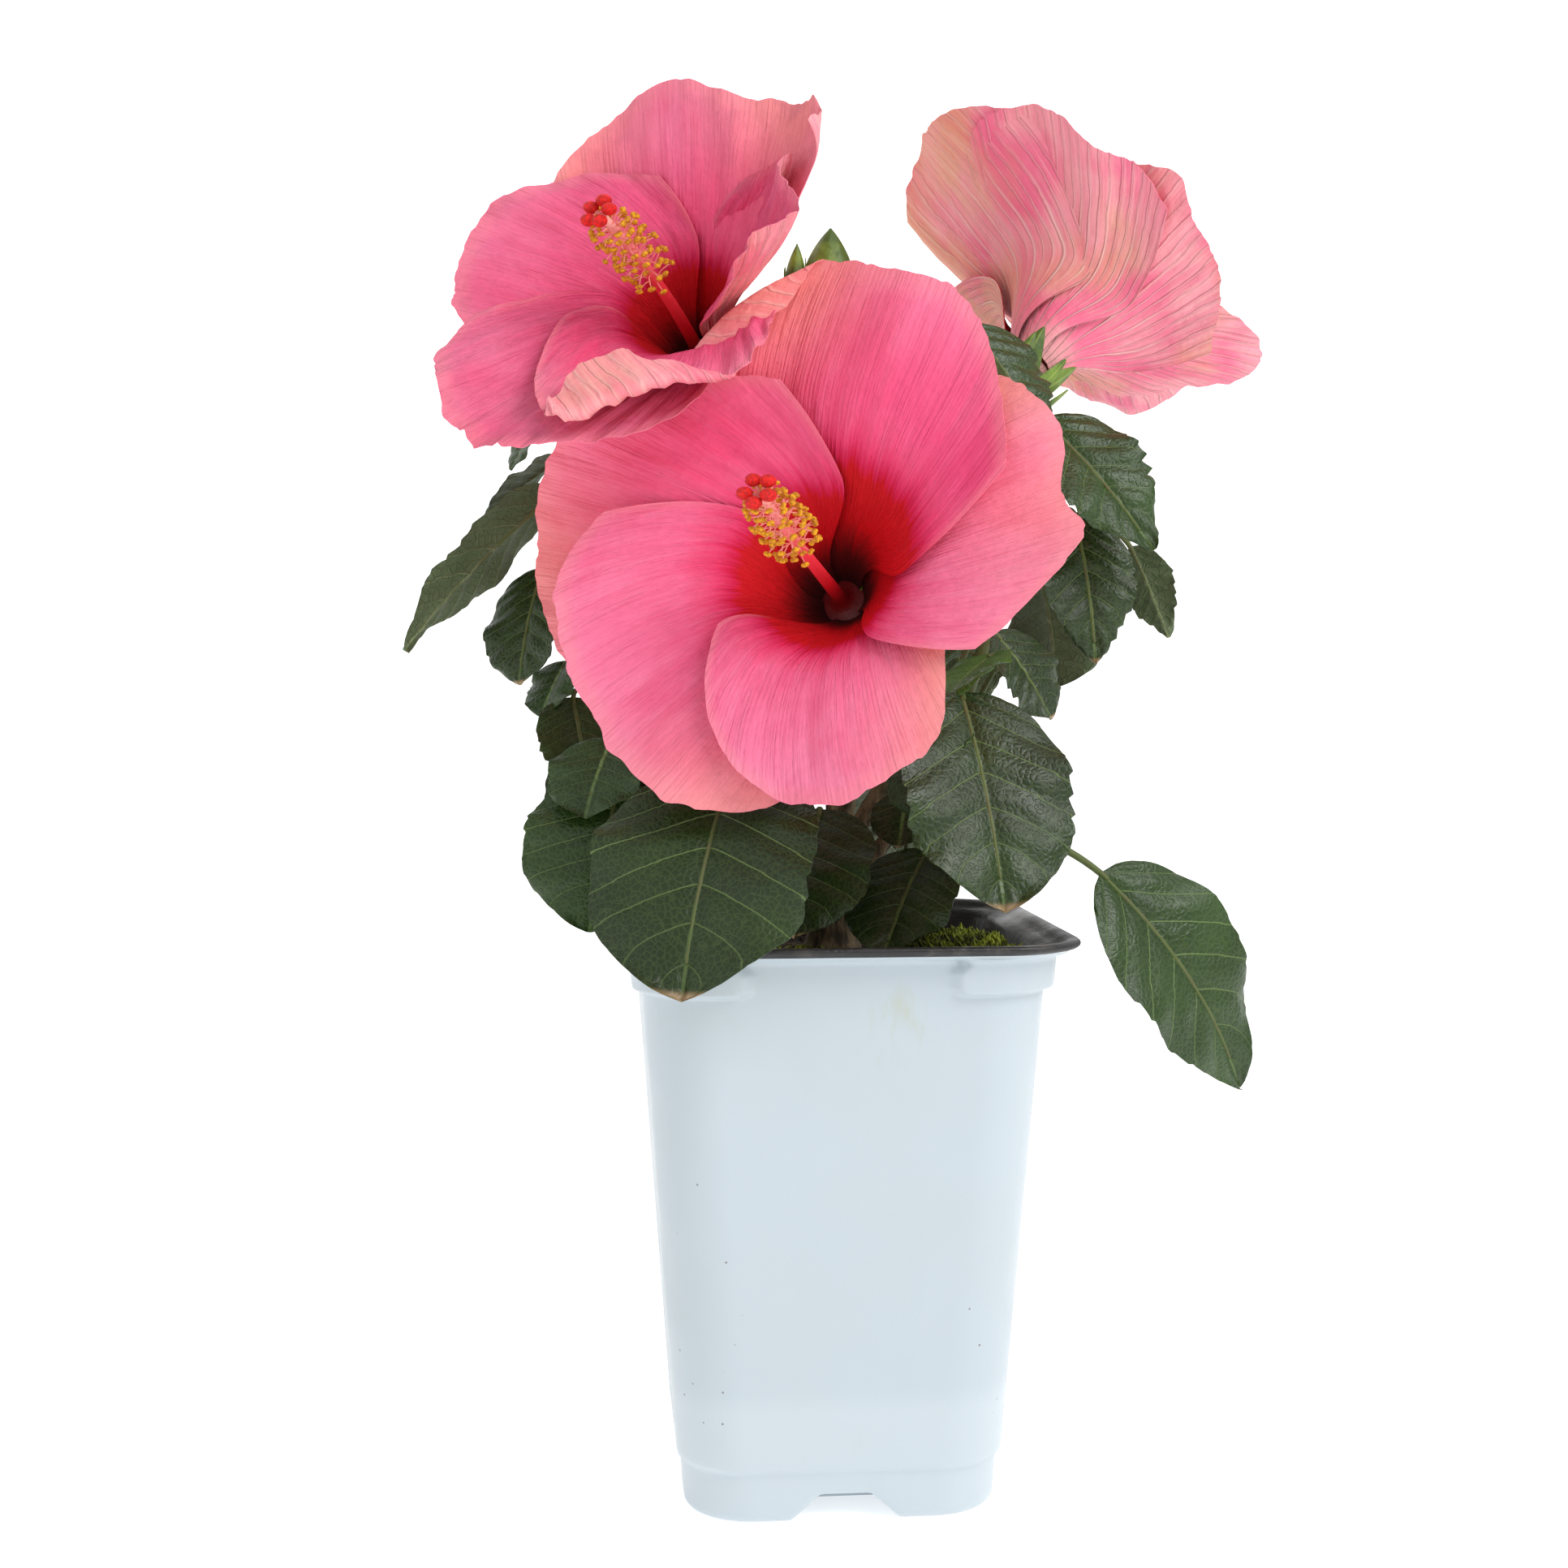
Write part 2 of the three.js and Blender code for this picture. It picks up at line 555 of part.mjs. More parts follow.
/** A petal: a claw that widens to a blunt, ruffled end, wrapped round the bloom's axis. */
function petalSurface(bloom, number) {
  const petal = bloom.petals[number];
  const { axis, right, top } = bloomFrame(bloom);
  const length = bloom.length * petal.long;
  const half = (bloom.width / 2) * petal.wide;
  const profile = flareProfile(bloom, petal, length);
  const middle = deg(bloom.roll + (360 / PETAL.count) * number + petal.turn);
  return (u, v) => {
    const s = u * length * (1 - PETAL.blunt * Math.abs(v) ** 2.6);
    const widening = Math.sin((clamp(s / bloom.length, 0, 1) * Math.PI) / 2) ** 0.9;
    const across = v * (PETAL.claw / 2 + (half - PETAL.claw / 2) * widening);
    const share = clamp(s / length, 0, 1);
    const wave = Math.sin(Math.PI * v * PETAL.waves + 1.7 * number);
    const lift = -bloom.overlap * v * (0.3 + 0.7 * share) + bloom.ruffle * share * share * wave;
    const { radius, height, slope } = profile(s);
    const angle = middle + across / Math.max(radius, PETAL.tube + 2);
    const out = right.clone().multiplyScalar(Math.cos(angle)).addScaledVector(top, Math.sin(angle));
    const normal = out.clone().multiplyScalar(-Math.cos(slope)).addScaledVector(axis, Math.sin(slope));
    const point = vec(bloom.base).addScaledVector(out, radius).addScaledVector(axis, height);
    return { point: point.addScaledVector(normal, lift), normal };
  };
}

function corolla(bloom) {
  const { axis } = bloomFrame(bloom);
  const foot = vec(bloom.base);
  const [low, high] = [-CALYX.below, COLUMN.above].map((rise) => foot.clone().addScaledVector(axis, rise));
  const disc = limb(bowed(low, foot, high), (share) => PETAL.tube + 0.8 * share, 8, 1);
  const petals = bloom.petals.map((_, number) => sheet(petalSurface(bloom, number), 5, 4, -PETAL.thickness));
  return settled(join([disc, ...petals]));
}

/** The staminal column with its cloud of anthers as one spindle, and five stigma pads. */
function column(bloom) {
  const { axis, right, top } = bloomFrame(bloom);
  const foot = vec(bloom.base).addScaledVector(axis, COLUMN.above + GAP);
  const tip = foot.clone().addScaledVector(axis, COLUMN.length);
  tip.addScaledVector(right, bloom.lean[0]).addScaledVector(top, bloom.lean[1]);
  const curve = bowed(foot, foot.clone().addScaledVector(axis, COLUMN.length / 2), tip);
  const radiusAt = (share) => {
    const cloud = Math.exp(-(((share - 0.78) / 0.13) ** 2));
    return COLUMN.radius - 0.8 * share + COLUMN.anthers * cloud;
  };
  const pads = [0, 1, 2, 3, 4].map((number) => {
    const turn = (2 * Math.PI * number) / 5;
    const pad = new THREE.OctahedronGeometry(COLUMN.stigma);
    const place = tip.clone().addScaledVector(axis, 0.6);
    place.addScaledVector(right, COLUMN.spread * Math.cos(turn));
    place.addScaledVector(top, COLUMN.spread * Math.sin(turn));
    pad.translate(place.x, place.y, place.z);
    return toSolid(pad);
  });
  return join([limb(curve, radiusAt, 6, 11), ...pads]);
}

/** The calyx: a cup under the petals with five pointed lobes, on its pedicel from the shoot's tip. */
function calyx(bloom) {
  const { axis, right, top } = bloomFrame(bloom);
  const foot = vec(bloom.base).addScaledVector(axis, -CALYX.below - GAP);
  const bottom = foot.clone().addScaledVector(axis, -CALYX.cup);
  const shoot = SHOOTS[bloom.shoot];
  const start = shootCurves[bloom.shoot].point(1);
  start.add(shootCurves[bloom.shoot].frame(1).along.multiplyScalar(3 * GAP));
  const bow = foot.clone().addScaledVector(axis, -2.4 * CALYX.cup);
  const pedicel = bowed(start, bow, bottom.clone().add(axis));
  const cup = bowed(bottom, bottom.clone().lerp(foot, 0.5), foot);
  const profile = flareProfile(bloom, { tilt: 0 }, bloom.length);
  const lobes = [0, 1, 2, 3, 4].map((number) => sheet((u, v) => {
    const { radius, height, slope } = profile(u * CALYX.lobe);
    const half = (CALYX.lobeWidth / 2) * (1 - u) ** 0.8 + 0.3;
    const angle = deg(bloom.roll + 36 + 72 * number) + (v * half) / (radius + 2);
    const out = right.clone().multiplyScalar(Math.cos(angle)).addScaledVector(top, Math.sin(angle));
    const normal = out.clone().multiplyScalar(-Math.cos(slope)).addScaledVector(axis, Math.sin(slope));
    const point = vec(bloom.base).addScaledVector(out, radius + CALYX.clear);
    return { point: point.addScaledVector(axis, height - CALYX.clear), normal };
  }, 2, 1, -CALYX.lobeThickness));
  const swell = CALYX.radius - CALYX.pedicel;
  const cupRadius = (share) => CALYX.pedicel + swell * Math.sin((share * Math.PI) / 2);
  return join([
    limb(pedicel, () => (shoot.radius[1] + CALYX.pedicel) / 2, 6, 5),
    limb(cup, cupRadius, 8, 2),
    ...lobes,
  ]);
}

/** A pointed bud on its own pedicel from just past the back shoot's tip. */
function bud({ to, length, radius }) {
  const along = shootCurves.back.frame(1).along;
  const start = shootCurves.back.point(1).addScaledVector(along, 2 * GAP);
  const foot = vec(to);
  const stalk = bowed(start, start.clone().lerp(foot, 0.5).addScaledVector(along, 2), foot);
  const tip = foot.clone().add(vec([0.5, -1, length]));
  const body = bowed(foot.clone().add(vec([0, 0, -1])), foot.clone().lerp(tip, 0.5), tip);
  const outline = (share) => Math.max(radius * Math.sin(Math.PI * share ** 0.62) ** 0.8, 0.4);
  return limb(stalk, () => 1.2, 5, 3).add(limb(body, outline, 8, 6));
}

// ---------------------------------------------------------------- keeping leaves clear of each other
/** Sample points that stand for everything grown so far: where, how thick, and on which shoot. */
const grown = [];

function sampleCurve(curve, radius, owner, start = 0, end = 1) {
  const count = Math.ceil((curve.length * (end - start)) / SAMPLES.spacing);
  const samples = [];
  for (let i = 0; i <= count; i += 1) {
    samples.push({ at: curve.point(start + ((end - start) * i) / count), radius, owner });
  }
  return samples;
}

function sampleSurface(surface, rows, columns, owner) {
  const samples = [];
  for (let i = 0; i <= rows; i += 1) {
    for (let j = 0; j <= columns; j += 1) {
      samples.push({ at: surface(i / rows, (2 * j) / columns - 1).point, radius: 0, owner });
    }
  }
  return samples;
}

const isClear = (samples, others) => samples.every((a) => others.every(
  (b) => a.at.distanceTo(b.at) > LEAF_CLEAR + a.radius + b.radius));

const isInside = (samples, { low, high }) => samples.every(({ at }) => ['x', 'y', 'z'].every(
  (key, k) => at[key] > low[k] && at[key] < high[k]));

function leafSamples(name, leaf) {
  const blade = sampleSurface(leafSurface(name, leaf), ...SAMPLES.leaf, name);
  const stalk = sampleCurve(leafStalk(name, leaf), 1, name, 0.3, 0.9);
  return { blade, stalk };
}

/** One seeded leaf: turned by the golden angle from the last, inside the half that faces `heading`. */
function seededLeaf(rule, number, random) {
  const drawn = ([first, more]) => first + more * random();
  const around = (range) => range * (random() - 0.5);
  const at = SEEDED.at[0] + (SEEDED.at[1] * (number + 0.5)) / rule.count;
  const swing = ((number * GOLDEN + 180) % 360) - 180;
  const heading = rule.heading + 0.5 * swing + around(SEEDED.sway);
  const length = drawn(SEEDED.length);
  const droop = drawn(SEEDED.droop);
  return {
    at,
    stalk: [heading, drawn(SEEDED.stalkRise), drawn(SEEDED.stalkLength)],
    blade: [heading + around(SEEDED.yaw), drawn(SEEDED.rise), around(SEEDED.roll)],
    size: [length, length * drawn(SEEDED.width), droop],
  };
}

/** Grows a shoot's seeded leaves and keeps those that stay in its space, clear of the rest. */
function fillShoot(name) {
  const rule = FILL[name];
  const random = randomStream(rule.seed);
  const kept = [];
  for (let number = 0; number < rule.count; number += 1) {
    for (let attempt = 0; attempt < SEEDED.tries; attempt += 1) {
      const leaf = seededLeaf(rule, number, random);
      leaf.size[0] *= 1 - SEEDED.shrink * attempt;
      leaf.size[1] *= 1 - SEEDED.shrink * attempt;
      const { blade, stalk } = leafSamples(name, leaf);
      const others = grown.filter((sample) => sample.owner !== name);
      const own = grown.filter((sample) => sample.owner === name && sample.radius === 0);
      const fits = isInside(blade, rule) && isClear(blade, grown);
      if (!fits || !isClear(stalk, others) || !isClear(stalk, own)) {
        continue;
      }
      grown.push(...blade, ...stalk);
      kept.push(leaf);
      break;
    }
  }
  return kept;
}

for (const [name, shoot] of Object.entries(SHOOTS)) {
  grown.push(...sampleCurve(shootCurves[name], shoot.radius[0], name));
}
for (const [name, bloom] of Object.entries(BLOOMS)) {
  bloom.petals.forEach((_, number) => {
    grown.push(...sampleSurface(petalSurface(bloom, number), ...SAMPLES.petal, `bloom_${name}`));
  });
}
for (const [name, leaves] of Object.entries(LEAVES)) {
  for (const leaf of leaves) {
    const { blade, stalk } = leafSamples(name, leaf);
    grown.push(...blade, ...stalk);
  }
}
for (const name of Object.keys(FILL)) {
  LEAVES[name] = [...(LEAVES[name] ?? []), ...fillShoot(name)];
}

function foliage(name) {
  return join([leafyStem(name), ...LEAVES[name].map((leaf) => leafSolid(name, leaf))]);
}

// ---------------------------------------------------------------- the scene graph
const finish = {
  plastic: new THREE.MeshStandardMaterial({ name: 'pot', color: '#dfe9f0', roughness: 0.35, metalness: 0 }),
  soil: new THREE.MeshStandardMaterial({ name: 'soil', color: '#3a2c22', roughness: 0.95, metalness: 0 }),
  moss: new THREE.MeshStandardMaterial({ name: 'moss', color: '#6f7d2a', roughness: 0.95, metalness: 0 }),
  bark: new THREE.MeshStandardMaterial({ name: 'bark', color: '#7b6a4c', roughness: 0.85, metalness: 0 }),
  leaf: new THREE.MeshStandardMaterial({ name: 'leaf', color: '#25452a', roughness: 0.35, metalness: 0 }),
  petal: new THREE.MeshStandardMaterial({ name: 'petal', color: '#f0688c', roughness: 0.6, metalness: 0 }),
  column: new THREE.MeshStandardMaterial({ name: 'column', color: '#e8a23c', roughness: 0.6, metalness: 0 }),
  calyx: new THREE.MeshStandardMaterial({ name: 'calyx', color: '#6a9a35', roughness: 0.55, metalness: 0 }),
};

const plant = new THREE.Group();

function place(name, solid, material) {
  const mesh = new THREE.Mesh(toGeometry(solid), material);
  mesh.name = name;
  plant.add(mesh);
}

place('pot', pot(), finish.plastic);
place('soil', soil(), finish.soil);
for (const [name, mound] of Object.entries(MOSS)) place(name, mossMound(mound), finish.moss);
place('trunk', trunk(), finish.bark);
const trunkClear = trunk(GAP);
for (const name of Object.keys(SHOOTS)) place(`bough_${name}`, bough(name, trunkClear), finish.bark);
for (const name of Object.keys(LEAVES)) place(`foliage_${name}`, foliage(name), finish.leaf);
for (const [name, bloom] of Object.entries(BLOOMS)) {
  place(`corolla_${name}`, corolla(bloom), finish.petal);
  place(`column_${name}`, column(bloom), finish.column);
  place(`calyx_${name}`, calyx(bloom), finish.calyx);
}
place('buds', join(BUDS.map(bud)), finish.calyx);

export default plant;
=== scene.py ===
"""The finish and the fine shapes of a potted hibiscus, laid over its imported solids."""

import math

import bpy
import numpy as np
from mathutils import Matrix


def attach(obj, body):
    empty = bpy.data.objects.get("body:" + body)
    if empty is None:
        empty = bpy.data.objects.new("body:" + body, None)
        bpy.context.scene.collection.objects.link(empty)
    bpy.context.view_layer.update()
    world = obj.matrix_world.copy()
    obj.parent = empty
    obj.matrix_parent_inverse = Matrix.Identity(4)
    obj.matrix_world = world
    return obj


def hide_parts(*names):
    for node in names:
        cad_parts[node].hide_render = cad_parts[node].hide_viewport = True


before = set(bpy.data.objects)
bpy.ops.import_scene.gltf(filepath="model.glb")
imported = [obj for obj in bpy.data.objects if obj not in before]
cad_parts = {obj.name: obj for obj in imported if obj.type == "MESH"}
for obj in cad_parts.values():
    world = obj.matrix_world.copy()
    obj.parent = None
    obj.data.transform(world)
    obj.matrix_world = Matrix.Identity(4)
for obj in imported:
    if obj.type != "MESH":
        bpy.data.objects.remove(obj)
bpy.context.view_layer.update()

bl_info = {
    "name": "Potted hibiscus",
    "version": (1, 0, 0),
    "blender": (4, 5, 0),
    "location": "3D View > Sidebar > Hibiscus",
    "description": "Makes a flowering hibiscus in a square nursery pot",
    "category": "Add Mesh",
}

MM = 0.001

# ---------------------------------------------------------------- sizes, in millimetres
POT = {
    "height": 150, "rim": 60, "shoulder": 52.4, "ledge": 42.8, "foot": 41, "foot_height": 13.5,
    "rim_height": 4.6, "lip": 2, "lip_width": 4.6, "wall": 1.6, "floor": 9, "corner": 18, "rim_corner": 21,
}
NOTCH = {"bottom": 28, "top": 13, "height": 6.5, "depth": 17}
LUG = {"height": 10.4, "top": 147, "reach": 26.6, "proud": 2.6}
SOIL_TOP = 141

# The ground: how far it lies under that level, its edge at the wall and the trunk's foot below it, its gap to
# the wall, its rings, and how far loose pieces keep from the trunk.
GROUND = {"sunk": 1.2, "edge": 1.8, "gap": 0.2, "straight": 40, "rings": 64, "clear": 10}
ROUND_STEPS = 16
MOSS = {
    "moss_right": {"at": (29, -26), "radius": (21, 23), "height": 8},
    "moss_left": {"at": (-12, -38), "radius": (16, 11), "height": 6},
}
MOSS_BED = {"sides": 48, "sunk": 0.6, "root": 2.2}
TRUNK = {
    "foot": (1, 2, 139), "middle": (1, 3, 158), "head": (2, 4, 176),
    "radius": (6.2, 4.6), "flare": 3.4, "flare_height": 6,
}

# Each shoot: where it leaves the trunk's middle line, the point that it bows through, its tip, its radius at
# both ends, and the share of it that is a bough.
SHOOTS = {
    "front": ((2, 3, 163), (6, -10, 186), (4, 3, 214), (2.6, 2.0), 1),
    "left": ((2, 4, 165.5), (-20, 15, 200), (-22, 38, 264), (2.7, 1.8), 0.45),
    "right": ((2, 4, 167), (28, 8, 198), (39, -4, 264), (2.7, 1.8), 0.5),
    "back": ((2, 4, 168), (4, 30, 206), (2, 20, 306), (2.6, 1.6), 0.35),
    "side_left": ((2, 4, 156), (-38, 8, 192), (-58, 14, 268), (2.3, 1.4), 0.25),
    "side_right": ((2, 4, 157), (42, 4, 192), (56, 12, 276), (2.3, 1.4), 0.27),
    "low_left": ((2, 3, 149), (-18, -12, 158), (-30, -24, 190), (2.2, 1.5), 0.3),
    "low_right": ((2, 3, 150), (26, -10, 162), (40, -22, 204), (2.2, 1.5), 0.22),
    "low_back": ((2, 3, 152), (8, 28, 164), (4, 46, 198), (2.2, 1.5), 0.3),
}

# Each leaf: the share of its shoot where it stands; its stalk's heading, rise and length; its blade's
# heading, rise and roll; its length, width and droop; how deep its teeth are; and its age, from 0 for a
# young one.
LEAVES = {
    "low_left": [
        (0.95, (-88, 27, 15), (-114, -39, 0), (67, 58, 34), 0.03, 2),
        (0.8, (177, 23, 34), (-115, -52, -10), (44, 42, 30), 0.03, 1),
        (0.45, (-42, 56, 24), (-112, -40, 0), (40, 36, 24), 0.03, 2),
        (0.7, (-179, 37, 46), (-120, -44, 0), (25, 28, 20), 0.05, 1),
    ],
    "low_right": [
        (0.97, (-128, 38, 18), (-78, -50, 0), (62, 45, 22), 0.04, 2),
        (0.7, (7, -23, 46), (-18, -42, 45), (76, 44, 46), 0.04, 1),
        (0.3, (-70, 28, 25), (-124, -34, 0), (37, 30, 20), 0.03, 2),
        (0.4, (-93, 71, 23), (-112, -50, 0), (17, 17, 15), 0.04, 2),
        (0.8, (-119, 62, 19), (-134, -41, 20), (31, 28, 20), 0.04, 1),
    ],
    "side_left": [
        (0.85, (165, 45, 31), (-166, -39, 40), (63, 27, 16), 0.06, 1),
        (0.95, (142, 38, 27), (-167, -32, 20), (29, 20, 14), 0.06, 1),
        (0.7, (165, 31, 40), (-124, -58, 10), (35, 28, 20), 0.06, 2),
        (0.5, (170, 26, 43), (-138, -51, 0), (18, 18, 16), 0.06, 1),
        (0.42, (176, 23, 45), (-72, -53, 0), (27, 24, 20), 0.06, 1),
        (0.35, (166, 19, 51), (-144, -65, 50), (27, 12, 14), 0.08, 2),
        (1.0, (147, 38, 31), (-153, -53, 0), (16, 12, 10), 0.06, 1),
    ],
    "side_right": [
        (0.95, (-63, 64, 21), (-38, -40, 35), (48, 32, 24), 0.09, 1),
        (0.8, (-7, 42, 26), (-70, -66, 10), (43, 28, 24), 0.09, 2),
        (0.9, (16, -10, 37), (-13, -65, -60), (28, 16, 10), 0.08, 1),
        (0.6, (35, 46, 39), (37, -70, 0), (32, 34, 16), 0.04, 1),
        (0.45, (-53, 59, 35), (-18, -48, 25), (28, 28, 20), 0.08, 2),
        (0.4, (-64, 48, 40), (-139, -22, 10), (23, 24, 15), 0.08, 0),
    ],
    "right": [
        (0.75, (-87, 74, 78), (-31, -46, 24), (34, 26, 20), 0.12, 1),
    ],
    "left": [],
    "back": [],
    "low_back": [],
}

# Seeded leaves: the seed, how many are tried, the two corners of the shoot's own space, and the way it faces.
FILL = {
    "left": (11, 7, (-72, 16, 196), (0, 84, 292), 130),
    "right": (23, 6, (14, 14, 200), (78, 84, 292), 50),
    "back": (37, 8, (-44, 20, 190), (52, 92, 330), 90),
    "side_left": (41, 6, (-74, 8, 170), (-18, 74, 268), 120),
    "side_right": (53, 6, (18, 8, 170), (76, 74, 268), 60),
    "low_left": (61, 3, (-70, -20, 152), (-8, 40, 215), 170),
    "low_right": (71, 3, (10, -20, 152), (72, 40, 215), 20),
    "low_back": (83, 8, (-64, 22, 134), (68, 94, 226), 90),
}
LEAF_CLEAR = 4.6
GOLDEN = 137.5
YOUNG = {"seed": 7, "count": 7, "length": (9, 21), "clear": 2.4}


def sized(turn, long, wide, tilt, margin, warm=(), folds=(), **shades):
    """One petal's measures, by their names."""
    return {"turn": turn, "long": long, "wide": wide, "tilt": tilt, "margin": margin, "warm": warm,
            "folds": folds, **shades}


# Each bloom: the foot of its petals and the way it faces; the petals' length and width; the roll of the first
# petal; the slopes between which they flare and where; the lean of its column; how far its throat is shifted;
# how far neighbours overlap; the depth of its ruffles and crinkles; the shares of ochre, of bruises and of
# deep pink; how far the throat's red reaches; and, where they are short, the size of the calyx's lobes.
# Each petal: its turn about the axis, its length and width as shares of the bloom's, its tilt, its length
# along nine rays from one side margin to the other, its warm patches (ray, distance, strength) and its folds,
# and its own share of crinkles, deep pink or red. A fold runs through two points (across, along) of the flat
# petal, and has a radius and a turn, forward or back.
BLOOMS = {
    "front": {
        "base": (-4, -20, 234), "axis": (-0.38, -0.86, 0.3), "length": 90, "width": 116, "roll": 17,
        "flare": (34, 84, 10, 52), "lean": (2.9, 6.7), "throat": (6, 0, 1.5), "overlap": 5, "ruffle": 3,
        "crinkle": 0.55, "ochre": 0, "bruise": 0, "deep": 0, "red": 1,
        "petals": [
            sized(11, 0.92, 0.92, 18, (0.74, 0.84, 0.97, 0.93, 0.98, 0.98, 0.98, 0.9, 0.7),
                  [(-0.3, 1, 0.5), (0.5, 0.95, 1)], red=0.74),
            sized(-13, 1.02, 1, 12, (0.72, 0.8, 0.93, 0.99, 0.98, 1.03, 1.08, 1.12, 0.95),
                  [(0.6, 0.95, 1)], [((26, 92), (60, 70), 1.8, 168)], deep=0.7),
            sized(2, 0.88, 1.15, 14, (0.74, 0.84, 0.95, 1.07, 1.08, 1.02, 0.93, 0.85, 0.7),
                  [(0.3, 1, 0.8)], rough=2.2, deep=0.55, red=0.78),
            sized(-6, 0.8, 1.15, 0, (0.84, 0.95, 0.96, 0.95, 0.98, 1, 1, 0.9, 0.7),
                  [(0.6, 1, 0.7)], red=0.76),
            sized(-16, 0.76, 0.95, -10, (0.5, 0.7, 0.89, 1.01, 1.08, 1.05, 1, 0.78, 0.6),
                  [(0.7, 0.95, 0.9)], red=0.66),
        ],
    },
    "left": {
        "base": (-32, 18, 301), "axis": (-0.36, -0.74, 0.58), "length": 80, "width": 104, "roll": 15,
        "flare": (24, 64, 10, 46), "lean": (-6, -4.7), "throat": (0, 0, 0), "overlap": 6, "ruffle": 3.5,
        "crinkle": 1.3, "ochre": 0.1, "bruise": 0.36, "deep": 0.6, "red": 0.7,
        "petals": [
            sized(2, 0.82, 0.6, -40, (0.7, 0.86, 0.95, 0.985, 1, 0.985, 0.95, 0.86, 0.7)),
            sized(9, 0.95, 1.2, 1, (0.98, 1, 0.96, 0.96, 1.02, 1.02, 0.94, 0.82, 0.66),
                  [(0.7, 0.95, 0.9), (-0.6, 1, 0.8)], [((-60, 66), (-38, 94), 3, 118)]),
            sized(10, 0.92, 0.94, 9, (0.7, 0.81, 0.9, 0.98, 1.02, 1, 0.96, 0.88, 0.7)),
            sized(17, 1.08, 0.78, 3, (0.78, 0.93, 0.99, 1.03, 1.05, 1.03, 0.95, 0.85, 0.7)),
            sized(-23, 1, 0.94, -6, (0.5, 0.7, 0.96, 1.16, 1.2, 1.08, 0.86, 0.66, 0.5),
                  [(0, 1.1, 0.9)], [((-34, 87), (30, 64), 1.6, 160)], rough=1.5),
        ],
    },
    "right": {
        "base": (54, 4, 300), "axis": (0.53, 0.47, 0.71), "length": 78, "width": 98, "roll": 24,
        "flare": (23, 60, 11, 47), "lean": (0, 8), "throat": (0, 0, 0), "overlap": 6, "ruffle": 3,
        "crinkle": 0.9, "ochre": 0.8, "bruise": 0.2, "deep": 0.2, "red": 0.8, "lobes": 0.62,
        "petals": [
            sized(5, 1.08, 1.2, -3, (0.9, 0.97, 1, 1.03, 1.03, 0.98, 0.94, 0.88, 0.8),
                  [(-0.1, 1, 0.6)]),
            sized(4, 0.88, 0.86, 18, (0.8, 0.9, 1, 1.01, 1, 0.98, 0.92, 0.9, 0.85)),
            sized(-20, 0.8, 1.05, 5, (0.85, 0.93, 0.95, 0.94, 1.03, 0.94, 0.92, 0.88, 0.85),
                  [(-0.4, 0.9, 0.7)]),
            sized(6, 0.98, 0.68, -7, (0.65, 0.78, 0.95, 0.98, 0.93, 0.85, 0.8, 0.68, 0.6)),
            sized(-12, 0.9, 1.06, 2, (0.85, 0.92, 1, 1.08, 1.08, 1, 0.95, 0.9, 0.85)),
        ],
    },
}
PETAL = {"count": 5, "claw": 14, "fine_claw": 11, "tube": 4.5, "waves": 2.2, "blunt": 0.3}
COLUMN = {"length": 60, "radius": 1.9, "foot": 4.6, "threads_from": 0.56, "threads_share": 0.4}
STIGMA = {"arms": 5, "turn": 20, "out": 3.3, "up": 2.2, "pad": (2.1, 2.1, 1.6)}
CALYX = {"cup": 10, "radius": 7, "lobe": 17, "lobe_width": 11, "clear": 4, "pedicel": 1.6, "below": 2.8}
BRACT = {"count": 7, "share": 0.62, "width": 2.6, "clear": 1.8, "low": 1.5, "rise": 3.5}
BUDS = [((1, 13, 320), 19, 6.6), ((-8, 15, 321), 14, 2.8)]

CAMERA = {"at": (-65.9, -592.6, 216.9), "azimuth": 5.161, "dip": 2.825, "lens": 50.5, "sensor": 36}

# The stage, in metres: each lamp's place and width, the point that both face, and the floor's sizes.
LAMPS = {"key": ((0.75, -0.75, 1.15), 0.9), "fill": ((-1.0, -0.7, 0.7), 1.0)}
LIT = (0, 0, 0.22)
FLOOR = {"half_width": 4.0, "front": -3.0, "reach": 1.6, "bend": 0.8, "top": 3.5, "below": 0.0002}


# ---------------------------------------------------------------- colours and adjustable sizes
def tone(red, green, blue):
    """A display colour of 0 to 255 a channel as the linear colour that a shader reads."""
    share = np.array((red, green, blue)) / 255
    linear = np.where(share > 0.04045, ((share + 0.055) / 1.055) ** 2.4, share / 12.92)
    return (*[float(value) for value in linear], 1.0)


def colour(name, description, *shade):
    return bpy.props.FloatVectorProperty(
        name=name, description=description, default=tone(*shade), size=4, subtype="COLOR", min=0, max=1)


def size(name, description, millimetres):
    return bpy.props.FloatProperty(
        name=name, description=description, default=millimetres * MM, min=0, unit="LENGTH", precision=5)


def share(name, description, value, top=1.0):
    return bpy.props.FloatProperty(
        name=name, description=description, default=value, min=0, max=top, subtype="FACTOR")


def count(name, description, value):
    return bpy.props.IntProperty(name=name, description=description, default=value, min=1)


def power(name, description, watts):
    return bpy.props.FloatProperty(name=name, description=description, default=watts, min=0, unit="POWER")


class HibiscusPot(bpy.types.PropertyGroup):
    """Finish of the nursery pot."""

    wall: colour("Wall", "Outside of the pot", 184, 195, 201)
    inside: colour("Inside", "Inside and rolled rim", 30, 30, 31)
    stain: colour("Stain", "Greenish scuffs", 176, 178, 142)
    speck: colour("Speck", "Grains of soil stuck to the wall", 92, 76, 62)
    columns: count("Columns", "Steps along one straight side", 48)


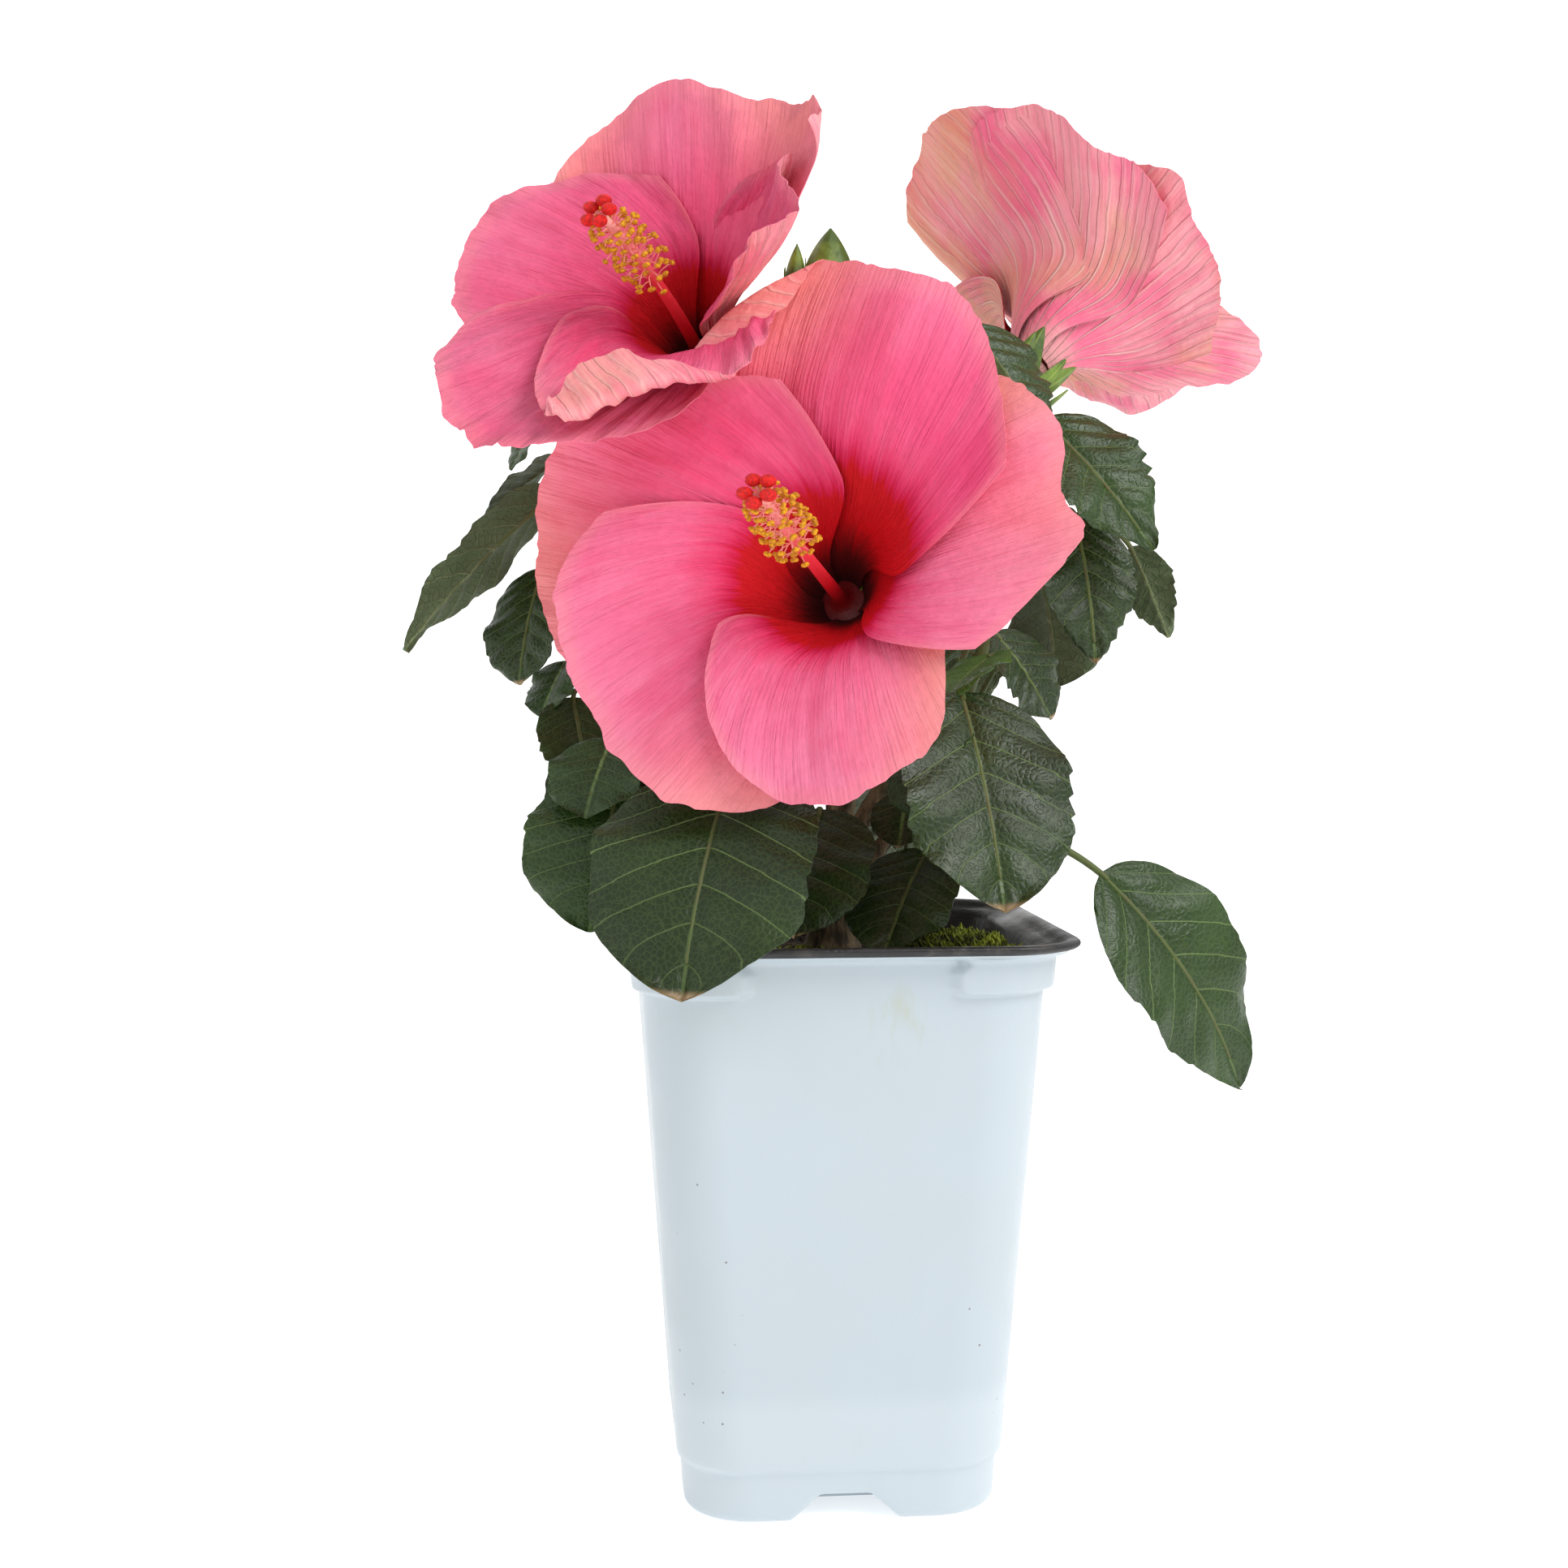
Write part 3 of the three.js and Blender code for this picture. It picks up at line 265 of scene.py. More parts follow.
class HibiscusSoil(bpy.types.PropertyGroup):
    """Compost, grit and moss."""

    dark: colour("Dark", "Wet compost", 34, 25, 20)
    light: colour("Light", "Dry fibres and bark", 92, 70, 52)
    grit: colour("Grit", "Pale grit", 214, 196, 182)
    moss: colour("Moss", "Tips of the moss", 150, 160, 48)
    moss_deep: colour("Moss shade", "Foot of the moss", 66, 66, 22)
    crumbs: count("Crumbs", "Loose pieces on the soil", 700)
    tufts: count("Tufts", "Shoots of moss on each clump", 900)


class HibiscusBark(bpy.types.PropertyGroup):
    """Trunk and boughs."""

    ridge: colour("Ridge", "Dry ridges of the bark", 128, 112, 84)
    groove: colour("Groove", "Grooves of the bark", 62, 54, 36)
    green: colour("Green wood", "Young shoots", 84, 98, 44)
    relief: size("Relief", "Depth of the bark's ridges", 0.35)


class HibiscusLeaf(bpy.types.PropertyGroup):
    """Leaves and their stalks."""

    young: colour("Young", "Young leaves", 58, 92, 30)
    grown: colour("Grown", "Leaves of middle age", 34, 56, 16)
    old: colour("Old", "Oldest leaves", 28, 44, 12)
    vein: colour("Vein", "Veins on the upper side", 122, 148, 84)
    under: colour("Underside", "Matt underside", 92, 106, 72)
    stalk: colour("Stalk", "Leaf stalks", 92, 92, 52)
    thickness: size("Thickness", "Thickness of a blade", 0.4)
    groove: size("Vein depth", "Depth of the veins on the upper side", 0.45)
    rows: count("Rows", "Steps along a blade", 60)
    columns: count("Columns", "Steps across a blade", 22)


class HibiscusPetal(bpy.types.PropertyGroup):
    """Petals."""

    # painted shadow: the near-black bottom of the throat is partly the eye's own deep red and partly painted
    # shade of the deep funnel
    depth: colour("Depth", "Bottom of the throat", 38, 0, 2)
    throat: colour("Throat", "Throat", 204, 0, 14)
    flame: colour("Flame", "Where the throat fades out", 214, 22, 76)
    pink: colour("Pink", "Body of the petal", 240, 100, 142)
    pale: colour("Pale pink", "Outer half of the petal", 244, 128, 164)
    salmon: colour("Salmon", "Warm margins", 246, 150, 138)
    under: colour("Underside", "Back of the petal", 244, 158, 170)
    vein: colour("Vein", "Veins on the back", 255, 214, 204)
    ochre: colour("Ochre", "Greenish tint of the back", 222, 172, 116)
    bruise: colour("Bruise", "Ageing margins", 150, 84, 108)
    thickness: size("Thickness", "Thickness of a petal", 0.45)
    reach: size("Throat reach", "How far the throat's red runs along a petal", 37)
    rows: count("Rows", "Steps along a petal", 88)
    columns: count("Columns", "Steps across a petal", 88)


class HibiscusColumn(bpy.types.PropertyGroup):
    """Columns of the blooms."""

    foot: colour("Foot", "Foot of the column", 214, 16, 34)
    tip: colour("Tip", "Upper part of the column", 248, 150, 150)
    anther: colour("Anther", "Anthers", 246, 178, 20)
    filament: colour("Filament", "Anther threads", 248, 160, 138)
    pad: colour("Stigma", "Stigma pads", 255, 16, 8)
    anthers: count("Anthers", "Anthers on one column", 96)


class HibiscusCalyx(bpy.types.PropertyGroup):
    """Calyxes and buds."""

    light: colour("Light", "Lit green", 118, 146, 44)
    deep: colour("Deep", "Deep green", 66, 92, 22)


class HibiscusStage(bpy.types.PropertyGroup):
    """Floor, light and camera."""

    floor: colour("Floor", "Studio floor", 250, 250, 250)
    key: power("Key light", "Power of the large lamp", 12)
    fill: power("Fill light", "Power of the lamp on the other side", 1.2)
    glow: share("Glow", "Light that the floor gives off", 0.45, 4)
    sky: share("Surround", "Strength of the white surround", 0.62, 4)


LOOKS = {
    "pot": HibiscusPot, "soil": HibiscusSoil, "bark": HibiscusBark, "leaf": HibiscusLeaf,
    "petal": HibiscusPetal, "column": HibiscusColumn, "calyx": HibiscusCalyx, "stage": HibiscusStage,
}


def look(name):
    """The property group of one part of the plant."""
    return getattr(bpy.context.scene, f"hibiscus_{name}")


# ---------------------------------------------------------------- small mathematics
WORD = 0xFFFFFFFF


def random_stream(seed):
    """Numbers from 0 to 1, the same on every run: a 32-bit counter, stirred by shifts and products."""
    state = seed
    while True:
        state = (state + 0x6D2B79F5) & WORD
        mix = ((state ^ (state >> 15)) * (state | 1)) & WORD
        mix ^= (mix + (((mix ^ (mix >> 7)) * (mix | 61)) & WORD)) & WORD
        yield (mix ^ (mix >> 14)) / 2**32


def aim(heading, rise):
    """Unit vector with a heading about +Z and a rise above the ground, in degrees."""
    turn, lift = math.radians(heading), math.radians(rise)
    return np.array((math.cos(lift) * math.cos(turn), math.cos(lift) * math.sin(turn), math.sin(lift)))


def unit(vectors):
    """Vectors divided by their length."""
    return vectors / np.linalg.norm(vectors, axis=-1, keepdims=True)


def ease(value, low, high):
    """0 below low, 1 above high, and 3t^2 - 2t^3 between them."""
    t = np.clip((value - low) / (high - low), 0, 1)
    return t * t * (3 - 2 * t)


def cloud(x, y, seed):
    """Smooth noise from -1 to 1: random values on a lattice of unit squares, blended by t^2 (3 - 2t)."""
    lattice = np.random.RandomState(seed).uniform(-1, 1, (64, 64))
    column, row = np.floor(x).astype(int), np.floor(y).astype(int)
    across, along = ease(x - column, 0, 1), ease(y - row, 0, 1)
    corner = [[lattice[(row + j) % 64, (column + i) % 64] for i in (0, 1)] for j in (0, 1)]
    low = corner[0][0] * (1 - across) + corner[0][1] * across
    high = corner[1][0] * (1 - across) + corner[1][1] * across
    return low * (1 - along) + high * along


def rugged(x, y, seed, octaves=3):
    """Clouds of half the size and half the strength laid over each other."""
    return sum(cloud(x * 2**n, y * 2**n, seed + n) / 2**n for n in range(octaves))


def unit_grid(rows, columns):
    """Two grids of numbers: from 0 to 1 down the rows, and from -1 to 1 along each row."""
    return np.meshgrid(np.linspace(0, 1, rows), np.linspace(-1, 1, columns), indexing="ij")


def round_angles(sides):
    """Even angles all the way round."""
    return np.arange(sides) * 2 * math.pi / sides


def spokes(across, beside, angle):
    """Unit vectors at the given angles, between two directions across."""
    return np.cos(angle)[..., None] * across + np.sin(angle)[..., None] * beside


class Bowed:
    """A quadratic curve that lies in one plane, with a frame that never twists."""

    def __init__(self, start, bow, end):
        self.start, self.bow, self.end = (np.array(point, float) for point in (start, bow, end))
        first = self.bow - self.start
        across = np.cross(first, self.end - self.bow)
        if np.linalg.norm(across) < 1e-3:
            across = np.cross(first, (1, 0, 0) if abs(first[0]) < abs(first[1]) else (0, 1, 0))
        self.across = unit(across)
        self.length = float(np.linalg.norm(np.diff(self.at(np.linspace(0, 1, 201)), axis=0), axis=1).sum())

    def at(self, t):
        """(1-t)^2 start + 2t(1-t) bow + t^2 end."""
        t = np.asarray(t, float)[..., None]
        return (1 - t) ** 2 * self.start + 2 * t * (1 - t) * self.bow + t * t * self.end

    def along(self, t):
        t = np.asarray(t, float)[..., None]
        return unit((1 - t) * (self.bow - self.start) + t * (self.end - self.bow))

    def beside(self, t):
        return np.cross(self.across, self.along(t))


CURVES = {name: Bowed(*shoot[:3]) for name, shoot in SHOOTS.items()}
TRUNK_CURVE = Bowed(TRUNK["foot"], TRUNK["middle"], TRUNK["head"])


# ---------------------------------------------------------------- meshes
def grid_faces(rows, columns, closed=False):
    """Quads of a grid of points numbered row by row; a closed grid's last column joins its first."""
    index = np.arange(rows * columns).reshape(rows, columns)
    if closed:
        index = np.concatenate([index, index[:, :1]], axis=1)
    corners = (index[:-1, :-1], index[1:, :-1], index[1:, 1:], index[:-1, 1:])
    return np.stack(corners, axis=-1).reshape(-1, 4)


def tube_faces(rows, sides):
    """Polygons of a tube of points, and of the fans that close its first and its last row on the two points
    that come after the tube's own."""
    step = np.arange(sides)
    after = (step + 1) % sides
    last = (rows - 1) * sides
    low = np.stack([np.full(sides, last + sides), step, after], axis=-1)
    high = np.stack([np.full(sides, last + sides + 1), last + after, last + step], axis=-1)
    return [grid_faces(rows, sides, closed=True), low, high]


def volume(points, faces):
    """Signed volume: the sum of the wedges between each triangle of a face and the origin."""
    corner = points[faces]
    total = 0
    for k in range(1, faces.shape[1] - 1):
        total += np.einsum("ij,ij->i", corner[:, 0], np.cross(corner[:, k], corner[:, k + 1])).sum()
    return total


class Piece:
    """Closed shapes in millimetres, gathered into one mesh with its maps and materials."""

    def __init__(self, name, slot, *materials):
        self.name, self.slot, self.materials = name, slot, materials
        self.points, self.quads, self.finish = [], [], []
        self.maps = {}
        self.total, self.corners = 0, 0

    def place(self, points):
        """Keeps points, and gives the number of the first."""
        self.points.append(points)
        self.total += len(points)
        return self.total - len(points)

    def put(self, faces, offset, finish=0, **maps):
        """Keeps faces whose points start at an offset. A map is a pair of numbers for each point, or for each
        corner of each face."""
        self.quads.append((faces + offset).tolist())
        self.finish.append(np.broadcast_to(finish, len(faces)))
        for key, value in maps.items():
            corners = value[faces] if value.ndim == 2 else value
            self.maps.setdefault(key, []).append((self.corners, corners.reshape(-1, 2)))
        self.corners += faces.size

    def closed(self, points, faces, finish=0, **maps):
        """Adds a closed shape with its faces turned outwards. Each entry of faces is one array of polygons,
        and finish is one number for all of them or a list with one for each."""
        inside_out = sum(volume(points - points.mean(0), part) for part in faces) < 0
        offset = self.place(points)
        for part, shade in zip(faces, finish if isinstance(finish, list) else [finish] * len(faces)):
            self.put(part[:, ::-1] if inside_out else part, offset, shade, **maps)

    def make(self, *nodes, sharp=60):
        """Builds the Blender object, which rides on the plant and stands for the nodes."""
        mesh = bpy.data.meshes.new(self.name)
        faces = [face for part in self.quads for face in part]
        mesh.from_pydata(np.concatenate(self.points) * MM, [], faces)
        for key, parts in self.maps.items():
            flat = np.zeros((self.corners, 2), np.float32)
            for start, corners in parts:
                flat[start:start + len(corners)] = corners
            mesh.uv_layers.new(name=key).data.foreach_set("uv", flat.ravel())
        mesh.polygons.foreach_set("material_index", np.concatenate(self.finish).astype(np.int32))
        mesh.polygons.foreach_set("use_smooth", np.ones(len(faces), bool))
        for material in self.materials:
            mesh.materials.append(material)
        mesh.validate()
        mesh.set_sharp_from_angle(angle=math.radians(sharp))
        piece = bpy.data.objects.new(self.name, mesh)
        bpy.context.scene.collection.objects.link(piece)
        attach(piece, "root")
        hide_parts(*nodes)
        return piece


def cell_map(u, v, cell, cells):
    """Lays a (u, v) square into one cell of a square atlas, with a margin round it."""
    side = math.ceil(math.sqrt(cells))
    inset = 0.04
    left, low = cell % side, cell // side
    return np.stack([left + inset + (1 - 2 * inset) * u, low + inset + (1 - 2 * inset) * v], axis=-1) / side


def add_sheet(piece, points, up, thickness, cell, cells, finish=(0, 1), **maps):
    """A thin closed skin: the grid moved half the thickness each way along `up`, and sewn round its rim.
    The upper face, the rim and the lower face each lie in their own part of the bake map."""
    rows, columns, _ = points.shape
    lift = up * (np.broadcast_to(thickness, (rows, columns)) / 2)[..., None]
    flat = np.concatenate([(points + lift).reshape(-1, 3), (points - lift).reshape(-1, 3)])
    half = rows * columns
    index = np.arange(half).reshape(rows, columns)
    upper = grid_faces(rows, columns)
    ring = np.concatenate([index[0], index[1:, -1], index[-1, -2::-1], index[-2:0:-1, 0]])
    after = np.roll(ring, -1)
    rim = np.stack([ring, after, after + half, ring + half], axis=-1)
    lower = upper[:, ::-1] + half
    if volume(flat - flat.mean(0), upper) + volume(flat - flat.mean(0), lower) < 0:
        upper, rim, lower = upper[:, ::-1], rim[:, ::-1], lower[:, ::-1]
    u, v = np.meshgrid(np.linspace(0, 1, rows), np.linspace(0, 1, columns), indexing="ij")
    top, bottom = (cell_map(u, v, 2 * cell + k, cells).reshape(-1, 2) for k in (0, 1))
    bake = np.concatenate([top, bottom])
    centre = top.mean(0)
    outward = np.concatenate([top, top + (top - centre) * 0.03])
    doubled = {key: np.concatenate([value.reshape(-1, 2)] * 2) for key, value in maps.items()}
    faces = np.concatenate([upper, rim, lower])
    corners = np.concatenate([bake[upper], outward[rim], bake[lower]])
    shades = np.concatenate([np.full(len(upper) + len(rim), finish[0]), np.full(len(lower), finish[1])])
    piece.put(faces, piece.place(flat), shades, OFBake=corners, **doubled)


def add_tube(piece, middle, across, beside, radius, sides, finish=0):
    """Carries a ring along a path; each end is drawn in to a point a third of its radius further on."""
    ways = spokes(across[:, None], beside[:, None], round_angles(sides)[None])
    body = middle[:, None] + ways * radius[:, None, None]
    ends = [middle[end] + unit(middle[end] - middle[before]) * radius[end] * 0.35
            for end, before in ((0, 1), (-1, -2))]
    points = np.concatenate([body.reshape(-1, 3), ends])
    along = np.concatenate([np.repeat(np.linspace(0, 1, len(middle)), sides), (0, 1)])
    way = np.stack([along, np.zeros(len(points))], axis=-1)
    piece.closed(points, tube_faces(len(middle), sides), finish, way=way)


def add_limb(piece, curve, radius_at, sides, steps, start=0.0, finish=0):
    """A tube along a bowed curve from one of its places to its end; its radius is a function of the share."""
    part = np.linspace(0, 1, steps)
    t = start + (1 - start) * part
    across = np.broadcast_to(curve.across, (steps, 3))
    add_tube(piece, curve.at(t), across, curve.beside(t), radius_at(part), sides, finish)


def ball(rows, columns):
    """Points and faces of a unit sphere: rings of latitude between two poles."""
    rise, turn = np.linspace(-math.pi / 2, math.pi / 2, rows + 2)[1:-1], round_angles(columns)
    ring = np.stack([np.outer(np.cos(rise), np.cos(turn)), np.outer(np.cos(rise), np.sin(turn)),
                     np.outer(np.sin(rise), np.ones(columns))], axis=-1)
    return np.concatenate([ring.reshape(-1, 3), [(0, 0, -1), (0, 0, 1)]]), tube_faces(rows, columns)


def add_balls(piece, centres, radii, finish, rows, columns, rough, seed):
    """Balls of three radii each, with their points shifted at random by a share of the radius."""
    points, faces = ball(rows, columns)
    random = np.random.RandomState(seed)
    for centre, radius in zip(centres, radii):
        shape = points * (1 + rough * random.uniform(-1, 1, (len(points), 1)))
        turn = random.uniform(0, 2 * math.pi)
        cos, sin = math.cos(turn), math.sin(turn)
        turned = (shape * radius) @ np.array(((cos, sin, 0), (-sin, cos, 0), (0, 0, 1)))
        piece.closed(turned + centre, faces, finish)


# ---------------------------------------------------------------- shader nodes
class Finish:
    """A new material, with constants on its shader's sockets, and the nodes that the looks are made of."""

    def __init__(self, name, roughness=0.5, **sockets):
        self.material = bpy.data.materials.new(name)
        self.material.use_nodes = True
        self.tree = self.material.node_tree
        self.shader = self.tree.nodes["Principled BSDF"]
        for key, value in {"Roughness": roughness, **sockets}.items():
            self.shader.inputs[key.replace("_", " ")].default_value = value
        self.where = self.node("ShaderNodeTexCoord").outputs["Object"]
        self.base = None

    def node(self, kind, wires=None, **settings):
        """Adds a node, with its settings, and wires or sets its inputs by name or number."""
        made = self.tree.nodes.new(kind)
        for key, value in settings.items():
            setattr(made, key, value)
        for key, value in (wires or {}).items():
            if isinstance(value, bpy.types.NodeSocket):
                self.tree.links.new(value, made.inputs[key])
            else:
                made.inputs[key].default_value = value
        return made

    def math(self, operation, *values):
        return self.node("ShaderNodeMath", dict(enumerate(values)), operation=operation).outputs[0]

    def times(self, first, second):
        return self.math("MULTIPLY", first, second)

    def plus(self, first, second):
        return self.math("ADD", first, second)

    def centred(self, value):
        return self.math("SUBTRACT", value, 0.5)

    def comb(self, value, teeth, wide, narrow):
        """Lines at even steps of a value: 1 on each line, 0 between them."""
        return self.window(self.math("PINGPONG", self.times(value, teeth), 0.5), wide, narrow)

    def blend(self, factor, first, second):
        """A colour between two others."""
        return self.node("ShaderNodeMix", {0: factor, 6: first, 7: second}, data_type="RGBA").outputs[2]

    def ramp(self, factor, stops):
        """A colour ramp with (place, colour) stops."""
        made = self.node("ShaderNodeValToRGB", {0: factor})
        marks = made.color_ramp.elements
        while len(marks) < len(stops):
            marks.new(1)
        for mark, (place, shade) in zip(marks, stops):
            mark.position, mark.color = place, shade
        return made.outputs[0]

    def window(self, value, low, high, bottom=0.0, top=1.0):
        """A value carried smoothly from one range to another."""
        wires = {0: value, 1: low, 2: high, 3: bottom, 4: top}
        return self.node("ShaderNodeMapRange", wires, interpolation_type="SMOOTHSTEP").outputs[0]

    def noise(self, scale, detail=3, rough=0.5, stretch=None, where=None):
        """Noise over the object's own space, which can be stretched, or over another position."""
        where = where or self.where
        if stretch:
            where = self.node("ShaderNodeMapping", {0: where, 3: stretch}).outputs[0]
        wires = {"Vector": where, "Scale": scale, "Detail": detail, "Roughness": rough}
        return self.node("ShaderNodeTexNoise", wires).outputs[0]

    def cells(self, scale, feature="F1"):
        """Distances of a field of cells over the object's own space."""
        wires = {"Vector": self.where, "Scale": scale}
        return self.node("ShaderNodeTexVoronoi", wires, feature=feature).outputs[0]

    def height(self):
        """The height of the point that is shaded, in metres."""
        return self.node("ShaderNodeSeparateXYZ", {0: self.where}).outputs[2]

    def chart(self, name):
        """The two numbers of one of the piece's own maps."""
        read = self.node("ShaderNodeUVMap", uv_map=name).outputs[0]
        return self.node("ShaderNodeSeparateXYZ", {0: read}).outputs[:2]

    def layer(self, factor, colour, share=None):
        """Lays a colour over the base, by a share of the factor."""
        self.base = self.blend(factor if share is None else self.times(factor, share), self.base, colour)

    def wire(self, height, depth, rough=None):
        """Joins the base, a height whose full swing is `depth` metres, and a roughness to the shader."""
        bump = self.node("ShaderNodeBump", {"Height": height, "Distance": depth, "Strength": 1.0})
        self.tree.links.new(self.base, self.shader.inputs["Base Color"])
        self.tree.links.new(bump.outputs[0], self.shader.inputs["Normal"])
        if rough is not None:
            self.tree.links.new(rough, self.shader.inputs["Roughness"])
        return self.material


# ---------------------------------------------------------------- pot
def wall_at(z):
    """Half-width of the pot's outer wall: a straight batter from the ledge to the shoulder."""
    top, low = POT["height"] - POT["rim_height"], POT["foot_height"]
    return POT["ledge"] + (POT["shoulder"] - POT["ledge"]) * (z - low) / (top - low)


def square_ring(half, corner, straight, bend):
    """A rounded square, as points anticlockwise from the middle of the right side, and the distance of each
    from the middle of its side: straight runs of even steps joined by quarter circles."""
    flat = half - corner
    run = np.linspace(0, 1, straight // 2 + 1)
    arc = np.linspace(0, math.pi / 2, bend + 1)[1:-1]
    first = np.stack([np.full(len(run), half), run * flat], axis=-1)
    curve = np.stack([flat + corner * np.cos(arc), flat + corner * np.sin(arc)], axis=-1)
    last = np.stack([run[::-1] * flat, np.full(len(run), half)], axis=-1)[:-1]
    quarter = np.concatenate([first, curve, last])
    aside = np.concatenate([run * flat, np.full(len(arc), half), run[:0:-1] * flat])
    turns = [np.array(((1, 0), (0, 1))), np.array(((0, 1), (-1, 0))),
             np.array(((-1, 0), (0, -1))), np.array(((0, -1), (1, 0)))]
    return np.concatenate([quarter @ turn for turn in turns]), np.tile(aside, 4)


def notch_lift(aside):
    """Height of the arch over the ground: 0 outside it, full in its middle, with straight sloping sides."""
    slope = (NOTCH["bottom"] - NOTCH["top"]) / 2
    return NOTCH["height"] * np.clip((NOTCH["bottom"] / 2 - aside) / slope, 0, 1)


def lug_swell(aside, z):
    """How proud the stacking lugs stand: full from the corner to their rounded ends, between two heights."""
    low = LUG["top"] - LUG["height"]
    inner = POT["shoulder"] - LUG["reach"]
    rounding = 2.0 * ease(low + 3 - z, 0, 3) ** 2 + 3.0 * ease(z, LUG["top"] - 5, LUG["top"])
    sides = ease(aside, inner - 1 + rounding, inner + 1.6 + rounding)
    return LUG["proud"] * sides * ease(z, low - 0.2, low + 1.1)


def pot_rows():
    """Rows of the pot from the middle of its underside round the rim to the middle of its floor: half-width,
    height, corner radius, share of the notch's lift that the row takes, and whether it is black."""
    height, rim, foot, ledge_top = POT["height"], POT["rim"], POT["foot"], POT["foot_height"]
    corner, rim_corner, lip, wall = POT["corner"], POT["rim_corner"], POT["lip"], POT["wall"]
    flare = height - POT["rim_height"]
    rows = [(foot - NOTCH["depth"], 0, 6, 0, 0), (foot - NOTCH["depth"] + 0.2, 0, 6, 1, 0)]
    rows += [(foot - inset, rise, corner - inset, 1, 0)
             for inset, rise in ((9, 0), (3, 0), (1.6, 0), (0.9, 0.25), (0.3, 0.9), (0, 1.9))]
    for part in np.linspace(0.1, 1, 9):
        z = 1.9 + (ledge_top - 1.5 - 1.9) * part
        rows.append((foot + 0.6 * part, z, corner, 1 - part, 0))
    rows += [(foot + 0.7, ledge_top - 0.9, corner, 0, 0), (foot + 1.1, ledge_top - 0.4, corner, 0, 0),
             (foot + 1.6, ledge_top + 0.1, corner, 0, 0),
             (wall_at(ledge_top + 1.2), ledge_top + 1.2, corner, 0, 0)]
    low = LUG["top"] - LUG["height"]
    rows += [(wall_at(z), z, corner, 0, 0) for z in np.linspace(ledge_top + 3, low - 2, 26)]
    rows += [(wall_at(z), z, corner, 0, 0) for z in np.linspace(low - 1, flare - 1, 24)]
    for part in np.linspace(0, 1, 7):
        out = wall_at(flare) + (rim - lip - wall_at(flare)) * ease(part, 0, 1)
        rise = flare + (height - lip - 0.5 - flare) * part
        rows.append((out, rise, corner + (rim_corner - 1 - corner) * part, 0, 0))
    rows += [(rim - lip + 0.2, height - lip - 0.3, rim_corner - 1, 0, 1),
             (rim - 0.6, height - lip - 0.1, rim_corner - 0.4, 0, 1)]
    edge = lip / 2
    for turn in np.radians((-60, -30, 0, 30, 60, 90)):
        rows.append((rim - edge + edge * math.cos(turn), height - edge + edge * math.sin(turn),
                     rim_corner - edge, 0, 1))
    inside = rim - POT["lip_width"]
    rows += [(rim - 2.6, height - 0.1, rim_corner - 2, 0, 1),
             (inside + 0.6, height - 0.9, rim_corner - 3.4, 0, 1),
             (inside, height - 1.5, rim_corner - 4, 0, 1),
             (inside - 1.4, height - 2.2, rim_corner - 4.4, 0, 1),
             (wall_at(flare) - wall + 0.8, flare + 1.4, corner - wall + 0.4, 0, 1),
             (wall_at(flare) - wall, flare, corner - wall, 0, 1),
             (wall_at(ledge_top + 6) - wall, ledge_top + 6, corner - wall, 0, 1),
             (foot - 2, POT["floor"], corner - wall, 0, 1)]
    return rows


def add_pot(piece, straight):
    """Carries the rows round the rounded square; both middles are closed with a fan."""
    rows = pot_rows()
    rings = []
    for half, z, corner, notch, black in rows:
        ring, aside = square_ring(half, corner, straight, ROUND_STEPS)
        room = 0 if black or half < POT["ledge"] else max(POT["rim"] - POT["lip"] - 0.4 - half, 0)
        swell = np.minimum(lug_swell(aside, z), room)
        lean = unit(np.sign(ring) * np.maximum(np.abs(ring) - (half - corner), 1e-6))
        rings.append(np.column_stack([ring + lean * swell[:, None], z + notch * notch_lift(aside)]))
    points = np.concatenate([*rings, [(0, 0, rows[0][1]), (0, 0, rows[-1][1])]])
    black = np.repeat([row[4] for row in rows[1:]], len(rings[0]))
    piece.closed(points, tube_faces(len(rows), len(rings[0])), [black, 0, 1])


def white_plastic(pot):
    """Glossy moulded plastic with a faint vertical grain, scuffs below the rim, grains of soil, and a paler
    painted light low on the wall.
    """
    m = Finish("pot_wall", 0.36, Coat_Weight=0.15, Coat_Roughness=0.3)
    height = m.height()
    cast = m.noise(22, 2)
    m.base = m.blend(m.window(cast, 0.3, 0.7, 0, 0.25), pot.wall, tone(188, 200, 210))
    # painted light: the wall below about 30 mm is made paler, standing for the brighter light near the floor
    painted_low_light = m.window(height, 0.028, 0.036, 0.16, 0)
    m.layer(painted_low_light, tone(218, 226, 232))
    near_rim = m.window(height, 0.1, 0.14)
    near_foot = m.window(height, 0.03, 0.004)
    dirty = m.plus(m.times(near_rim, 0.75), m.times(near_foot, 0.8))
    smear = m.window(m.noise(70, 4, 0.65, (1, 1, 0.35)), 0.6, 0.74)
    patch = m.window(m.noise(26, 2), 0.5, 0.68)
    scuff = m.times(m.times(smear, patch), dirty)
    m.layer(scuff, pot.stain, 0.6)
    grain = m.window(m.cells(190), 0.075, 0.035)
    sparse = m.window(m.noise(45, 2), 0.56, 0.66)
    speck = m.times(grain, sparse)
    m.layer(speck, pot.speck, 0.75)
    rough = m.window(m.noise(60, 3), 0.3, 0.7, 0.3, 0.46)
    ripple = m.noise(60, 2, 0.5, (1, 1, 0.06))
    peel = m.noise(900, 1)
    relief = m.plus(ripple, m.times(peel, 0.06))
    return m.wire(relief, 0.0005, rough)


def black_plastic(pot):
    """Satin black plastic with a dusty film that gathers in patches."""
    m = Finish("pot_inside", 0.42)
    dust = m.window(m.noise(90, 4, 0.6), 0.5, 0.72, 0, 0.3)
    m.base = m.blend(dust, pot.inside, tone(120, 112, 104))
    rough = m.window(m.noise(50, 3), 0.3, 0.7, 0.3, 0.55)
    return m.wire(m.noise(700, 2), 0.0002, rough)


